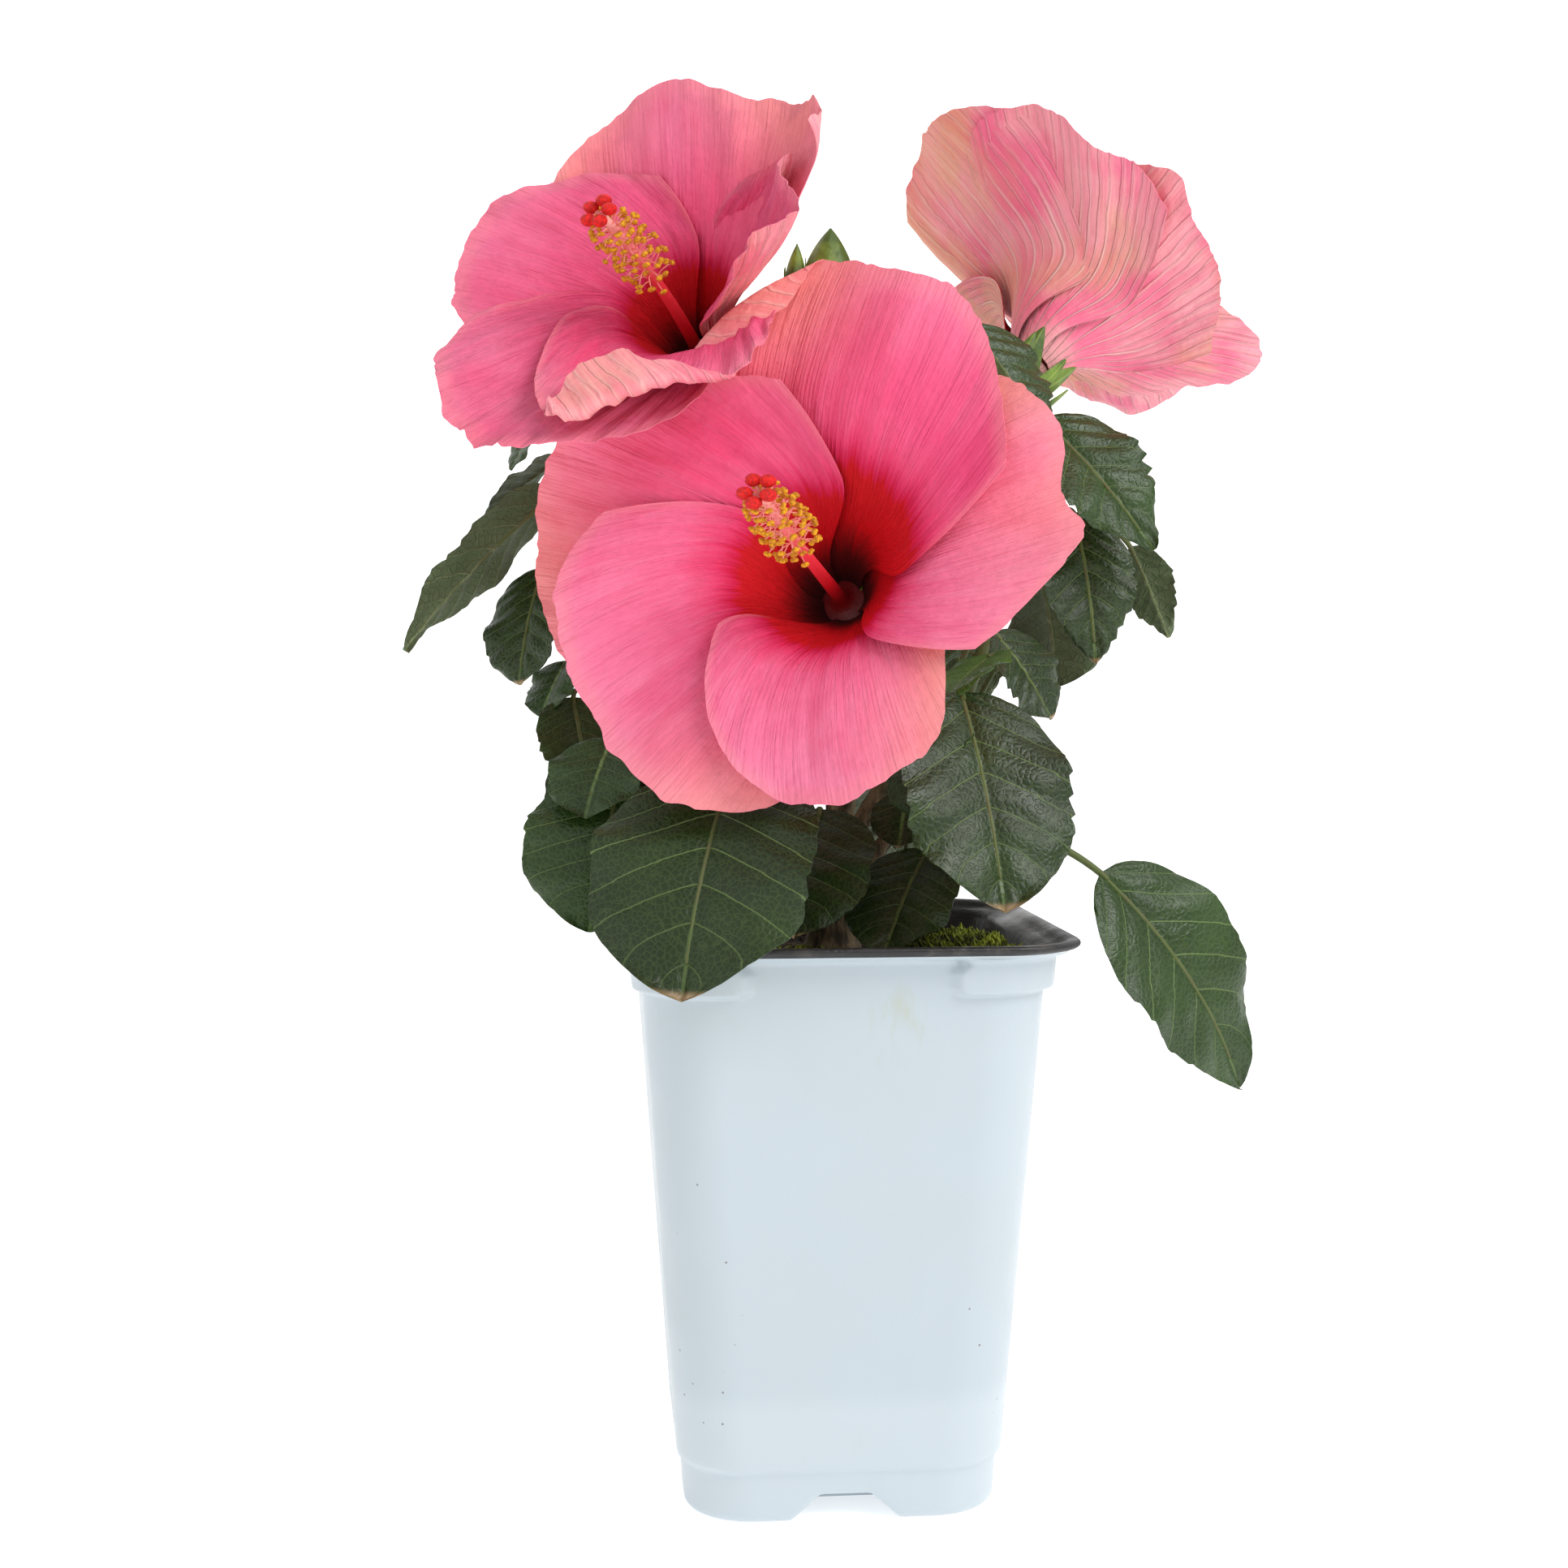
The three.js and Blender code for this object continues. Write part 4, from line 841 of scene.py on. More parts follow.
# ---------------------------------------------------------------- soil and moss
def soil_height(x, y):
    """Uneven ground: broad swells, clods and fine grains."""
    return SOIL_TOP - GROUND["sunk"] + 0.9 * rugged(x / 14, y / 14, 3) + 0.5 * rugged(x / 3.1, y / 3.1, 9, 2)


def add_soil(piece):
    """A rounded-square plug whose top is uneven ground."""
    def ring(half, bend):
        return square_ring(half, bend, GROUND["straight"], ROUND_STEPS)[0]

    def half_at(z):
        return wall_at(z) - POT["wall"] - GROUND["gap"]

    corner = POT["corner"] - POT["wall"]
    rings = []
    for half, z in ((POT["foot"] - 2.4, POT["floor"] + 0.3), *[(half_at(z), z) for z in (
            POT["foot_height"] + 6, SOIL_TOP - 2.5)]):
        flat = ring(half, corner)
        rings.append(np.column_stack([flat, np.full(len(flat), z)]))
    for part in np.linspace(1, 0.02, GROUND["rings"]):
        flat = ring(half_at(SOIL_TOP), corner) * part
        edge = ease(part, 0.97, 1)
        top = soil_height(flat[:, 0], flat[:, 1]) * (1 - edge) + (SOIL_TOP - GROUND["edge"]) * edge
        rings.append(np.column_stack([flat, top]))
    middle = soil_height(np.zeros(1), np.zeros(1))[0]
    points = np.concatenate([*rings, [(0, 0, rings[0][0, 2]), (0, 0, middle)]])
    piece.closed(points, tube_faces(len(rings), len(rings[0])))


def scatter(random, number, half, clear):
    """Random places in a square, none nearer to the trunk than `clear`."""
    spot = random.uniform(-half, half, (3 * number, 2))
    return spot[np.hypot(spot[:, 0] - TRUNK["foot"][0], spot[:, 1] - TRUNK["foot"][1]) > clear][:number]


def add_crumbs(piece, number):
    """Clods and chips of bark strewn over the soil, a few grains of pale grit and strands of root."""
    random = np.random.RandomState(21)
    spot = scatter(random, number, POT["shoulder"] - 5, GROUND["clear"])
    centres = np.column_stack([spot, soil_height(spot[:, 0], spot[:, 1])])
    radii = random.uniform(0.4, 1.5, (len(spot), 1))
    radii = radii * random.uniform((0.7, 0.5, 0.35), (1.8, 1, 0.8), (len(spot), 3))
    add_balls(piece, centres, radii, 0, 3, 6, 0.3, 5)
    spot = scatter(random, 26, POT["shoulder"] - 6, GROUND["clear"])
    centres = np.column_stack([spot, soil_height(spot[:, 0], spot[:, 1]) + 0.6])
    radii = random.uniform(0.8, 1.7, (len(spot), 1)) * random.uniform(0.7, 1, (len(spot), 3))
    add_balls(piece, centres, radii, 1, 4, 7, 0.16, 6)
    for x, y in scatter(random, 34, POT["shoulder"] - 10, GROUND["clear"] + 2):
        heading = random.uniform(0, 360)
        start = np.array((x, y, soil_height(np.array(x), np.array(y)) - 0.4))
        end = start + aim(heading, 0) * random.uniform(6, 15)
        end[:2] = np.clip(end[:2], 6 - POT["shoulder"], POT["shoulder"] - 6)
        end[2] = SOIL_TOP - GROUND["sunk"]
        bow = (start + end) / 2 + aim(heading + 90, 0) * random.uniform(-4, 4)
        bow = bow + (0, 0, random.uniform(1.5, 4))
        add_limb(piece, Bowed(start, bow, end), lambda part: 0.28 - 0.12 * part, 5, 9, finish=2)


def mound(at, radius, height, x, y):
    """Height of a clump of moss over the soil at a place: a dome with lumps."""
    away = ((x - at[0]) / radius[0]) ** 2 + ((y - at[1]) / radius[1]) ** 2
    lumps = 1 + 0.22 * rugged(x / 4, y / 4, 31, 2)
    return height * np.sqrt(np.clip(1 - away, 0, 1)) * lumps


def add_moss(piece, at, radius, height, tufts, seed):
    """A lumpy dome covered with short leaning shoots, each a narrow cone of four sides."""
    def spot(reach, turn, sunk):
        x, y = at[0] + radius[0] * reach * np.cos(turn), at[1] + radius[1] * reach * np.sin(turn)
        return np.column_stack([x, y, SOIL_TOP - sunk + mound(at, radius, height, x, y)])

    turn = round_angles(MOSS_BED["sides"])
    lobes = 0.06 * cloud(turn * 2.5, turn * 0, seed)
    rings = [spot(part * (1 + lobes * ease(part, 0.5, 1)), turn, MOSS_BED["sunk"])
             for part in (1, *np.linspace(0.985, 0.03, 22))]
    low = SOIL_TOP - MOSS_BED["root"]
    rings.insert(0, np.column_stack([rings[0][:, :2], np.full(len(turn), low)]))
    points = np.concatenate([*rings, [(*at, low), (*at, SOIL_TOP - MOSS_BED["sunk"] + height)]])
    piece.closed(points, tube_faces(len(rings), len(turn)))
    random = np.random.RandomState(seed)
    reach, turn = np.sqrt(random.uniform(0, 0.98, tufts)), random.uniform(0, 2 * math.pi, tufts)
    foot = spot(reach, turn, MOSS_BED["sunk"] + 0.2)
    lean = np.column_stack([random.uniform(-0.9, 0.9, (tufts, 2)), np.ones(tufts)])
    tall = random.uniform(1.0, 2.5, (tufts, 1))
    circle = spokes(np.array((1, 0, 0)), np.array((0, 1, 0)), np.arange(4) * math.pi / 2)
    width = random.uniform(0.28, 0.5, (tufts, 1, 1))
    low = foot[:, None] + circle * width
    waist = low + (lean * tall * 0.5)[:, None] + circle * width * 0.35
    first = piece.place(np.concatenate([low, waist, (foot + lean * tall)[:, None]], axis=1).reshape(-1, 3))
    first = first + 9 * np.arange(tufts)[:, None, None]
    a, b = np.arange(4), (np.arange(4) + 1) % 4
    for faces in (np.stack([a, b, b + 4, a + 4], axis=-1), np.stack([a + 4, b + 4, np.full(4, 8)], axis=-1),
                  np.array(((3, 2, 1, 0),))):
        piece.put((first + faces).reshape(-1, faces.shape[1]), 0, 1)


def earth(soil):
    """Compost: dark wet crumbs, dry brown fibres and a few pale dots."""
    m = Finish("compost", 0.95)
    dry = m.window(m.noise(260, 5, 0.65), 0.44, 0.66)
    m.base = m.blend(dry, soil.dark, soil.light)
    fibre = m.window(m.noise(420, 3, 0.6, (1, 0.2, 1)), 0.62, 0.7)
    m.layer(fibre, tone(150, 118, 84))
    return m.wire(m.noise(900, 4), 0.0008)


def mottled(name, first, second, scale, roughness=0.8, depth=0.0003):
    """Two shades clouded into each other, with a grain of the same size."""
    m = Finish(name, roughness)
    cast = m.window(m.noise(scale, 4, 0.6), 0.38, 0.64)
    m.base = m.blend(cast, first, second)
    return m.wire(m.noise(scale * 3, 3), depth)


# ---------------------------------------------------------------- trunk and boughs
def trunk_radius(part):
    """A straight taper, with a root flare that dies out above the ground."""
    above = part * (TRUNK["head"][2] - TRUNK["foot"][2])
    flare = TRUNK["flare"] * np.exp(-above / TRUNK["flare_height"])
    return TRUNK["radius"][0] + (TRUNK["radius"][1] - TRUNK["radius"][0]) * part + flare


def shoot_radius(name, t):
    thick, thin = SHOOTS[name][3]
    return thick + (thin - thick) * t


def add_bark(piece, curve, radius_at, end, sides, steps, relief, seed):
    """A limb whose radius carries long ridges: noise stretched along it, and a swelling at each leaf scar."""
    part, turn = np.linspace(0, 1, steps), round_angles(sides)
    t = end * part
    along = (t * curve.length)[:, None]
    mirrored = np.minimum(turn, 2 * math.pi - turn)[None, :]
    ridges = rugged(mirrored * 2.6 + 0 * along, along / 9 + 0 * mirrored, seed)
    cracks = -np.abs(rugged(mirrored * 4.4 + 0 * along, along / 6 + 0 * mirrored, seed + 7, 2))
    scars = np.exp(-(((along / 8.5) % 1 - 0.5) / 0.09) ** 2)
    shape = radius_at(part)[:, None] + relief * (ridges + 1.3 * cracks + 0.8 * scars)
    middle = curve.at(t)
    body = middle[:, None] + spokes(curve.across, curve.beside(t)[:, None], turn[None]) * shape[..., None]
    ends = [middle[0], middle[-1] + unit(middle[-1] - middle[-2]) * 0.6]
    points = np.concatenate([body.reshape(-1, 3), ends])
    points[:, 2] = np.maximum(points[:, 2], SOIL_TOP - GROUND["edge"])
    piece.closed(points, tube_faces(steps, sides))


def bark_finish(bark):
    """Woody bark: dark grooves between pale ridges stretched up the stem, greener where it is young."""
    m = Finish("bark", 0.82)
    streak = m.noise(420, 4, 0.6, (1, 1, 0.25))
    m.base = m.blend(m.window(streak, 0.36, 0.62), bark.groove, bark.ridge)
    height = m.height()
    m.layer(m.window(height, 0.17, 0.25, 0, 0.7), bark.green)
    return m.wire(streak, 0.0006)


# ---------------------------------------------------------------- leaves: the rule by which they grow
def leaf_half(u):
    """Half-width of a leaf along its length, 1 at its widest."""
    return np.sin(math.pi * np.clip(u, 0, 1) ** 0.78) ** 0.7


def leaf_frame(name, leaf):
    """The foot of a leaf's stalk, the foot of its blade, and the blade's three directions."""
    at, stalk, (heading, rise, roll) = leaf[:3]
    foot = CURVES[name].at(at)
    base = foot + aim(stalk[0], stalk[1]) * stalk[2]
    along, level = aim(heading, rise), aim(heading, rise + 90)
    flank = np.cross(along, level)
    cos, sin = math.cos(math.radians(roll)), math.sin(math.radians(roll))
    return foot, base, along, cos * level + sin * flank, cos * flank - sin * level


def leaf_points(name, leaf, u, v, half=None, relief=0.0):
    """The midrib droops on an arc, and the halves rise a little from it and bend over:
    lift = 0.18 |x| - 0.108 x^2 / half-width, where x is the distance from the midrib."""
    _, base, along, up, side = leaf_frame(name, leaf)
    length, width, droop = leaf[3]
    turn = math.radians(droop)
    reach, fall = length * np.sin(turn * u) / turn, length * (1 - np.cos(turn * u)) / turn
    normal = np.cos(turn * u)[..., None] * up + np.sin(turn * u)[..., None] * along
    half = np.maximum(width / 2 * leaf_half(u), 0.5) if half is None else half
    across = v * half
    lift = 0.18 * np.abs(across) - 0.108 * across**2 / (width / 2) + relief
    middle = base + reach[..., None] * along - fall[..., None] * up
    return middle + across[..., None] * side + lift[..., None] * normal, normal, across


def leaf_stalk(name, leaf):
    """A stalk leaves its shoot along its own heading and turns into the midrib."""
    foot, base, along, _, _ = leaf_frame(name, leaf)
    return Bowed(foot, base - 0.35 * leaf[1][2] * along, base + 2.5 * along)


def leaf_samples(name, leaf):
    """Points that stand for a leaf's blade and for its stalk."""
    u, v = unit_grid(14, 9)
    blade = leaf_points(name, leaf, u, v)[0].reshape(-1, 3)
    curve = leaf_stalk(name, leaf)
    steps = math.ceil(curve.length * 0.6 / 3)
    return blade, curve.at(0.3 + 0.6 * np.arange(steps + 1) / steps)


class Grown:
    """Everything grown so far: sample points, how thick each is, and its owner."""

    def __init__(self):
        self.at, self.radius, self.owner = np.zeros((0, 3)), np.zeros(0), np.zeros(0, str)

    def add(self, points, radius, name):
        self.at = np.concatenate([self.at, points])
        self.radius = np.concatenate([self.radius, np.full(len(points), float(radius))])
        self.owner = np.concatenate([self.owner, np.full(len(points), name)])

    def clear(self, points, radius, mask=None, distance=LEAF_CLEAR):
        """True if every point keeps its distance from every sample that the mask names."""
        at, thick = (self.at, self.radius) if mask is None else (self.at[mask], self.radius[mask])
        for start in range(0, len(at), 4000):
            part = at[start:start + 4000]
            gap = np.linalg.norm(points[:, None] - part[None], axis=2)
            if (gap <= distance + radius + thick[start:start + 4000]).any():
                return False
        return True


def seeded_leaf(name, number, random):
    """One seeded leaf, turned by the golden angle from the last, inside the half that the shoot faces."""
    _, total, _, _, facing = FILL[name]
    at = 0.34 + 0.62 * (number + 0.5) / total
    swing = (number * GOLDEN + 180) % 360 - 180
    heading = facing + 0.5 * swing + 24 * (next(random) - 0.5)
    length = 46 + 18 * next(random)
    droop = 22 + 18 * next(random)
    stalk = (heading, 18 + 30 * next(random), 14 + 10 * next(random))
    blade = (heading + 30 * (next(random) - 0.5), -14 - 34 * next(random), 30 * (next(random) - 0.5))
    return at, stalk, blade, (length, length * (0.62 + 0.14 * next(random)), droop)


def fill_shoot(name, grown):
    """Seeded leaves that stay in the shoot's own space, clear of the rest."""
    seed, total, low, high, _ = FILL[name]
    random = random_stream(seed)
    kept = []
    for number in range(total):
        for attempt in range(4):
            at, stalk, blade, (length, width, droop) = seeded_leaf(name, number, random)
            shrink = 1 - 0.1 * attempt
            leaf = (at, stalk, blade, (length * shrink, width * shrink, droop), 0.05, (number + seed) % 3)
            face, stem = leaf_samples(name, leaf)
            own = grown.owner == name
            inside = (face > low).all() and (face < high).all()
            if inside and grown.clear(face, 0) and grown.clear(stem, 1, ~own) \
                    and grown.clear(stem, 1, own & (grown.radius == 0)):
                grown.add(face, 0, name)
                grown.add(stem, 1, name)
                kept.append(leaf)
                break
    return kept


def young_leaves(name, grown):
    """Small leaves nearer the shoot's tip, kept where they have room inside the same space."""
    _, _, low, high, facing = FILL[name]
    random = random_stream(YOUNG["seed"] + len(name) * 13)
    kept = []
    for number in range(YOUNG["count"] * 3):
        if len(kept) == YOUNG["count"]:
            break
        at = 0.5 + 0.5 * next(random)
        heading = facing + 360 * (next(random) - 0.5)
        short, long = YOUNG["length"]
        length = short + (long - short) * next(random)
        stalk = (heading, 20 + 40 * next(random), 4 + 6 * next(random))
        leaf = (at, stalk, (heading, 10 - 40 * next(random), 30 * (next(random) - 0.5)),
                (length, length * 0.66, 20), 0.09, 0)
        face, stem = leaf_samples(name, leaf)
        own = grown.owner == name
        if (face > low).all() and (face < high).all() and grown.clear(face, 0, None, YOUNG["clear"]) \
                and grown.clear(stem, 0.6, ~own, YOUNG["clear"]):
            grown.add(face, 0, name)
            kept.append(leaf)
    return kept


def grow():
    """All leaves of every mass, by the rule: shoots and petals first, then the placed leaves, the seeded
    ones, and last the young ones."""
    grown = Grown()
    for name, curve in CURVES.items():
        steps = math.ceil(curve.length / 3)
        grown.add(curve.at(np.arange(steps + 1) / steps), SHOOTS[name][3][0], name)
    u, v = unit_grid(17, 15)
    for name, bloom in BLOOMS.items():
        for number in range(PETAL["count"]):
            grown.add(petal_points(bloom, number, u, v)[0].reshape(-1, 3), 0, f"bloom_{name}")
    for name, leaves in LEAVES.items():
        for leaf in leaves:
            face, stem = leaf_samples(name, leaf)
            grown.add(face, 0, name)
            grown.add(stem, 1, name)
    made = {name: list(leaves) for name, leaves in LEAVES.items()}
    for name in FILL:
        made[name] += fill_shoot(name, grown)
    for name in FILL:
        made[name] += young_leaves(name, grown)
    return made


# ---------------------------------------------------------------- leaves: their finished shape
VEINS = {"step": 0.155, "first": 0.07, "sweep": 0.3, "bend": 1.12, "teeth": 12}


def vein_phase(u, v):
    """Counts the side veins: a whole number on each. They leave the midrib at even steps and sweep forward
    as they near the margin, u = phase * step + sweep |v|^bend."""
    sweep = VEINS["sweep"] * (1 - 0.45 * u) * np.abs(v) ** VEINS["bend"]
    return (u - sweep + VEINS["first"]) / VEINS["step"]


def add_leaf(piece, name, leaf, cell, total, settings, seed):
    """A toothed blade with sunken veins, swollen fields between them and a wavy margin."""
    length, width, _ = leaf[3]
    small = length < 26
    rows = settings.rows // 2 if small else settings.rows
    columns = settings.columns // 2 if small else settings.columns
    u, v = unit_grid(rows + 1, columns + 1)
    v = np.sign(v) * np.abs(v) ** 1.15
    random = np.random.RandomState(seed)
    teeth = VEINS["teeth"] if length > 40 else VEINS["teeth"] - 3
    saw = (u * teeth + 0.35 * np.sign(v)) % 1 - 0.5
    uneven = 0.7 + 0.6 * cloud(u * 7, np.sign(v) * 3, seed)
    ragged = 1 + leaf[4] * (1.6 if leaf[4] < 0.08 else 2.2) * saw * ease(u, 0.22, 0.5) * uneven
    sharper = 1 - 0.22 * ease(u, 0.62, 1) if width < 0.7 * length else 1 + 0.3 * ease(u, 0.45, 0.85)
    half = np.maximum(width / 2 * leaf_half(u) * sharper * ragged, 0.35)
    phase = vein_phase(u, v)
    off_vein = np.abs((phase + 0.5) % 1 - 0.5) * VEINS["step"] * length
    off_rib = np.abs(v) * half
    depth = settings.groove / MM * min(1.0, length / 45)
    fields = 0.5 - 0.5 * np.cos(2 * math.pi * phase)
    swell = 0.9 * depth * fields * np.sin(math.pi * np.clip(np.abs(v), 0, 1)) ** 0.7
    grooves = 0.6 * depth * np.exp(-((off_vein / 0.9) ** 2)) + depth * np.exp(-((off_rib / 1.1) ** 2))
    phases = random.uniform(0, 2 * math.pi, 3)
    swing = np.sin(2 * math.pi * 1.7 * u + phases[0])
    swing = swing + 0.6 * np.sin(2 * math.pi * 3.6 * u + phases[1]) * np.sign(v)
    wave = np.abs(v) ** 2.4 * width * 0.035 * swing
    dents = 0.35 * depth * rugged(u * 9, v * 5 + 8, seed, 2)
    relief = (swell - grooves + dents) * ease(u, 0, 0.06) + wave * ease(u, 0.05, 0.3)
    points, normal, across = leaf_points(name, leaf, u, v, half, relief)
    thin = settings.thickness / MM * (1 - 0.5 * np.abs(v) ** 6) * (1 - 0.4 * ease(u, 0.9, 1))
    maps = {
        "blade": np.stack([u, 0.5 + 0.5 * v], axis=-1),
        "veins": np.stack([phase / 10, across / 100], axis=-1),
    }
    add_sheet(piece, points, normal, thin, cell, total, (leaf[5], 3), **maps)


def add_rib(piece, name, leaf):
    """The midrib stands out below the blade as a tapering cord that grows on from the stalk."""
    length = leaf[3][0]
    u = np.linspace(0, 0.86, 14)
    points, normal, _ = leaf_points(name, leaf, u, 0 * u)
    side = leaf_frame(name, leaf)[4]
    radius = (0.75 - 0.5 * u) * min(1.0, length / 40)
    middle = points - normal * (radius * 0.55)[:, None]
    add_tube(piece, middle, np.broadcast_to(side, middle.shape), normal, radius, 6)


def leaf_finish(name, base_shade, leaf):
    """Waxy upper side: pale midrib and side veins, a net of small veins, and drifting shade."""
    m = Finish(name, 0.4, Specular_IOR_Level=0.36, Coat_Weight=0.08, Coat_Roughness=0.25)
    along, _ = m.chart("blade")
    phase, across = m.chart("veins")
    drift = m.noise(55, 3)
    pale = tuple(min(1.0, 1.9 * channel) for channel in base_shade[:3]) + (1.0,)
    m.base = m.blend(m.window(drift, 0.35, 0.75, 0, 0.55), tuple(base_shade), pale)
    side_vein = m.comb(phase, 10.0, 0.035, 0.008)
    rib = m.window(m.math("ABSOLUTE", across), 0.0065, 0.0028)
    fading = m.window(along, 1.0, 0.2, 0.35, 1.0)
    lines = m.times(m.math("MAXIMUM", m.times(side_vein, 0.75), rib), fading)
    m.layer(lines, leaf.vein, 0.8)
    net = m.cells(620, "DISTANCE_TO_EDGE")
    mesh_lines = m.window(net, 0.0, 0.3, 0.0, 0.5)
    m.layer(m.window(net, 0.12, 0.0, 0, 0.1), leaf.vein)
    height = m.plus(mesh_lines, m.times(m.noise(150, 2), 1.2))
    height = m.math("SUBTRACT", height, m.times(side_vein, 0.8))
    rough = m.window(m.noise(80, 3), 0.3, 0.7, 0.3, 0.48)
    if name == "leaf_old":
        m.layer(m.window(along, 0.955, 0.985, 0, 0.8), tone(170, 142, 108))
    return m.wire(height, 0.00018, rough)


def under_finish(leaf):
    """Matt grey-green underside with raised pale veins."""
    m = Finish("leaf_under", 0.62)
    phase, across = m.chart("veins")
    m.base = m.blend(m.window(m.noise(70, 3), 0.3, 0.7, 0, 0.4), leaf.under, tone(66, 84, 48))
    side_vein = m.comb(phase, 10.0, 0.05, 0.012)
    rib = m.window(m.math("ABSOLUTE", across), 0.0075, 0.003)
    lines = m.math("MAXIMUM", m.times(side_vein, 0.8), rib)
    m.layer(lines, tone(134, 146, 100), 0.7)
    net = m.window(m.cells(420, "DISTANCE_TO_EDGE"), 0.0, 0.1, 1, 0)
    height = m.plus(net, m.times(lines, 1.6))
    return m.wire(height, 0.0002)


# ---------------------------------------------------------------- petals
def bloom_frame(bloom):
    """The way a bloom faces, and the two directions across it."""
    axis = unit(np.array(bloom["axis"], float))
    right = unit(np.cross((0, 0, 1), axis))
    return axis, right, np.cross(axis, right)


def flare_profile(bloom, tilt, length):
    """Distance from the axis, height and slope along a petal: the slope eases from one angle to another, plus
    a tilt that grows with the square of the distance, and its sine and cosine are summed by trapezoids."""
    low, high, start, end = bloom["flare"]
    s = np.linspace(0, bloom["length"] * 1.3, 121)
    slope = np.radians(low + (high - low) * ease(s, start, end) + tilt * np.clip(s / length, 0, 1) ** 2)
    step = s[1]
    outward = np.cumsum((np.sin(slope[:-1]) + np.sin(slope[1:])) / 2) * step
    upward = np.cumsum((np.cos(slope[:-1]) + np.cos(slope[1:])) / 2) * step
    radius = PETAL["tube"] + np.concatenate([[0], outward])
    height = np.concatenate([[0], upward])
    return lambda at: (np.interp(at, s, radius), np.interp(at, s, height), np.interp(at, s, slope))


def round_axis(bloom, radius, height, slope, angle):
    """Places at a distance from a bloom's axis, a height along it and an angle round it, and the normals of a
    surface that slopes away from the axis there."""
    axis, right, top = bloom_frame(bloom)
    out = spokes(right, top, angle)
    points = np.array(bloom["base"], float) + radius[..., None] * out + height[..., None] * axis
    return points, -np.cos(slope)[..., None] * out + np.sin(slope)[..., None] * axis


def folded(across, along, fold):
    """Rolls the part of a flat petal on the far side of a line: it follows a cylinder of the fold's radius up
    to the fold's turn and runs on straight. Gives the new flat place and the height over it."""
    (x0, s0), (x1, s1), radius, turn = fold
    way = unit(np.array((x1 - x0, s1 - s0), float))
    out = np.array((-way[1], way[0]))
    out = out * np.sign(out @ (x0, s0))
    beyond = np.maximum((across - x0) * out[0] + (along - s0) * out[1], 0)
    full = math.radians(abs(turn))
    bend = np.minimum(beyond / radius, full)
    rest = beyond - bend * radius
    kept = radius * np.sin(bend) + rest * math.cos(full)
    lift = radius * (1 - np.cos(bend)) + rest * math.sin(full)
    return across - (beyond - kept) * out[0], along - (beyond - kept) * out[1], math.copysign(1, turn) * lift


def petal_points(bloom, number, u, v, fine=False, seed=0):
    """A claw that widens to a blunt, ruffled end, wrapped round the bloom's axis. The width follows a quarter
    sine wave of the distance along it, and the petal slants from above one neighbour to below the next. The
    fine shape adds its own margin, crinkles that deepen towards the margin, and folds."""
    petal = bloom["petals"][number]
    length, half = bloom["length"] * petal["long"], bloom["width"] / 2 * petal["wide"]
    profile = flare_profile(bloom, petal["tilt"], length)
    claw = (PETAL["fine_claw"] if fine else PETAL["claw"]) / 2
    if fine:
        rays = np.linspace(-1, 1, len(petal["margin"]))
        outline = smooth_through(rays, petal["margin"], v)
        row = v * 0 + number
        rim = 1 + 0.012 * cloud(v * 9, row, seed + 3) + 0.006 * cloud(v * 31, row, seed + 4)
        s = u * length * outline * rim
    else:
        s = u * length * (1 - PETAL["blunt"] * np.abs(v) ** 2.6)
    widening = np.sin(np.clip(s / bloom["length"], 0, 1) * math.pi / 2) ** 0.9
    if fine:
        widening = widening * ease(s, -6, 34)
    across = v * (claw + (half - claw) * widening)
    part = np.clip(s / length, 0, 1)
    wave = np.sin(math.pi * v * PETAL["waves"] + 1.7 * number)
    lift = -bloom["overlap"] * v * (0.3 + 0.7 * part) + bloom["ruffle"] * part**2 * wave
    if fine:
        lift = lift + bloom["overlap"] * v * 0.2 * (1 - ease(s, 0, 30))
    flat_s, flat_x = s, across
    turn = petal["turn"] * (ease(s, 0, 34) if fine else 1)
    middle = np.radians(bloom["roll"] + 360 / PETAL["count"] * number + turn)
    if fine:
        outer = ease(u, 0.35, 1)
        lift = lift + bloom["ruffle"] * 0.35 * outer * np.sin(7.3 * v + 2.1 * number + 1.5 * u)
        rough = bloom["crinkle"] * petal.get("rough", 1)
        lift = lift + rough * outer * rugged(v * 7 + 3 * number, u * 2.6, seed, 2)
        lift = lift + 0.45 * rough * ease(u, 0.2, 0.7) * rugged(v * 17, u * 5 + number, seed + 9, 2)
        lift = lift + 0.1 * np.cos(v * 40) * ease(u, 0.15, 0.5)
        for fold in petal["folds"]:
            across, s, raised = folded(across, s, fold)
            lift = lift + raised
    radius, height, slope = profile(s)
    angle = middle + across / np.maximum(radius, PETAL["tube"] + 2)
    points, normal = round_axis(bloom, radius, height, slope, angle)
    if fine:
        points = points + (1 - ease(flat_s, 12, 62))[..., None] * np.array(bloom["throat"], float)
    return points + lift[..., None] * normal, normal, flat_s, flat_x


def smooth_through(places, values, at):
    """A cubic Hermite curve through the values, with the slope between its neighbours at each of them."""
    places, values = np.asarray(places, float), np.asarray(values, float)
    slopes = np.gradient(values, places)
    k = np.clip(np.searchsorted(places, at) - 1, 0, len(places) - 2)
    gap = places[k + 1] - places[k]
    t = (at - places[k]) / gap
    return ((2 * t**3 - 3 * t**2 + 1) * values[k] + (t**3 - 2 * t**2 + t) * gap * slopes[k]
            + (3 * t**2 - 2 * t**3) * values[k + 1] + (t**3 - t**2) * gap * slopes[k + 1])


def sheet_normals(points):
    """Unit normals of a grid: the cross product of its two central differences."""
    return unit(np.cross(np.gradient(points, axis=0), np.gradient(points, axis=1)))


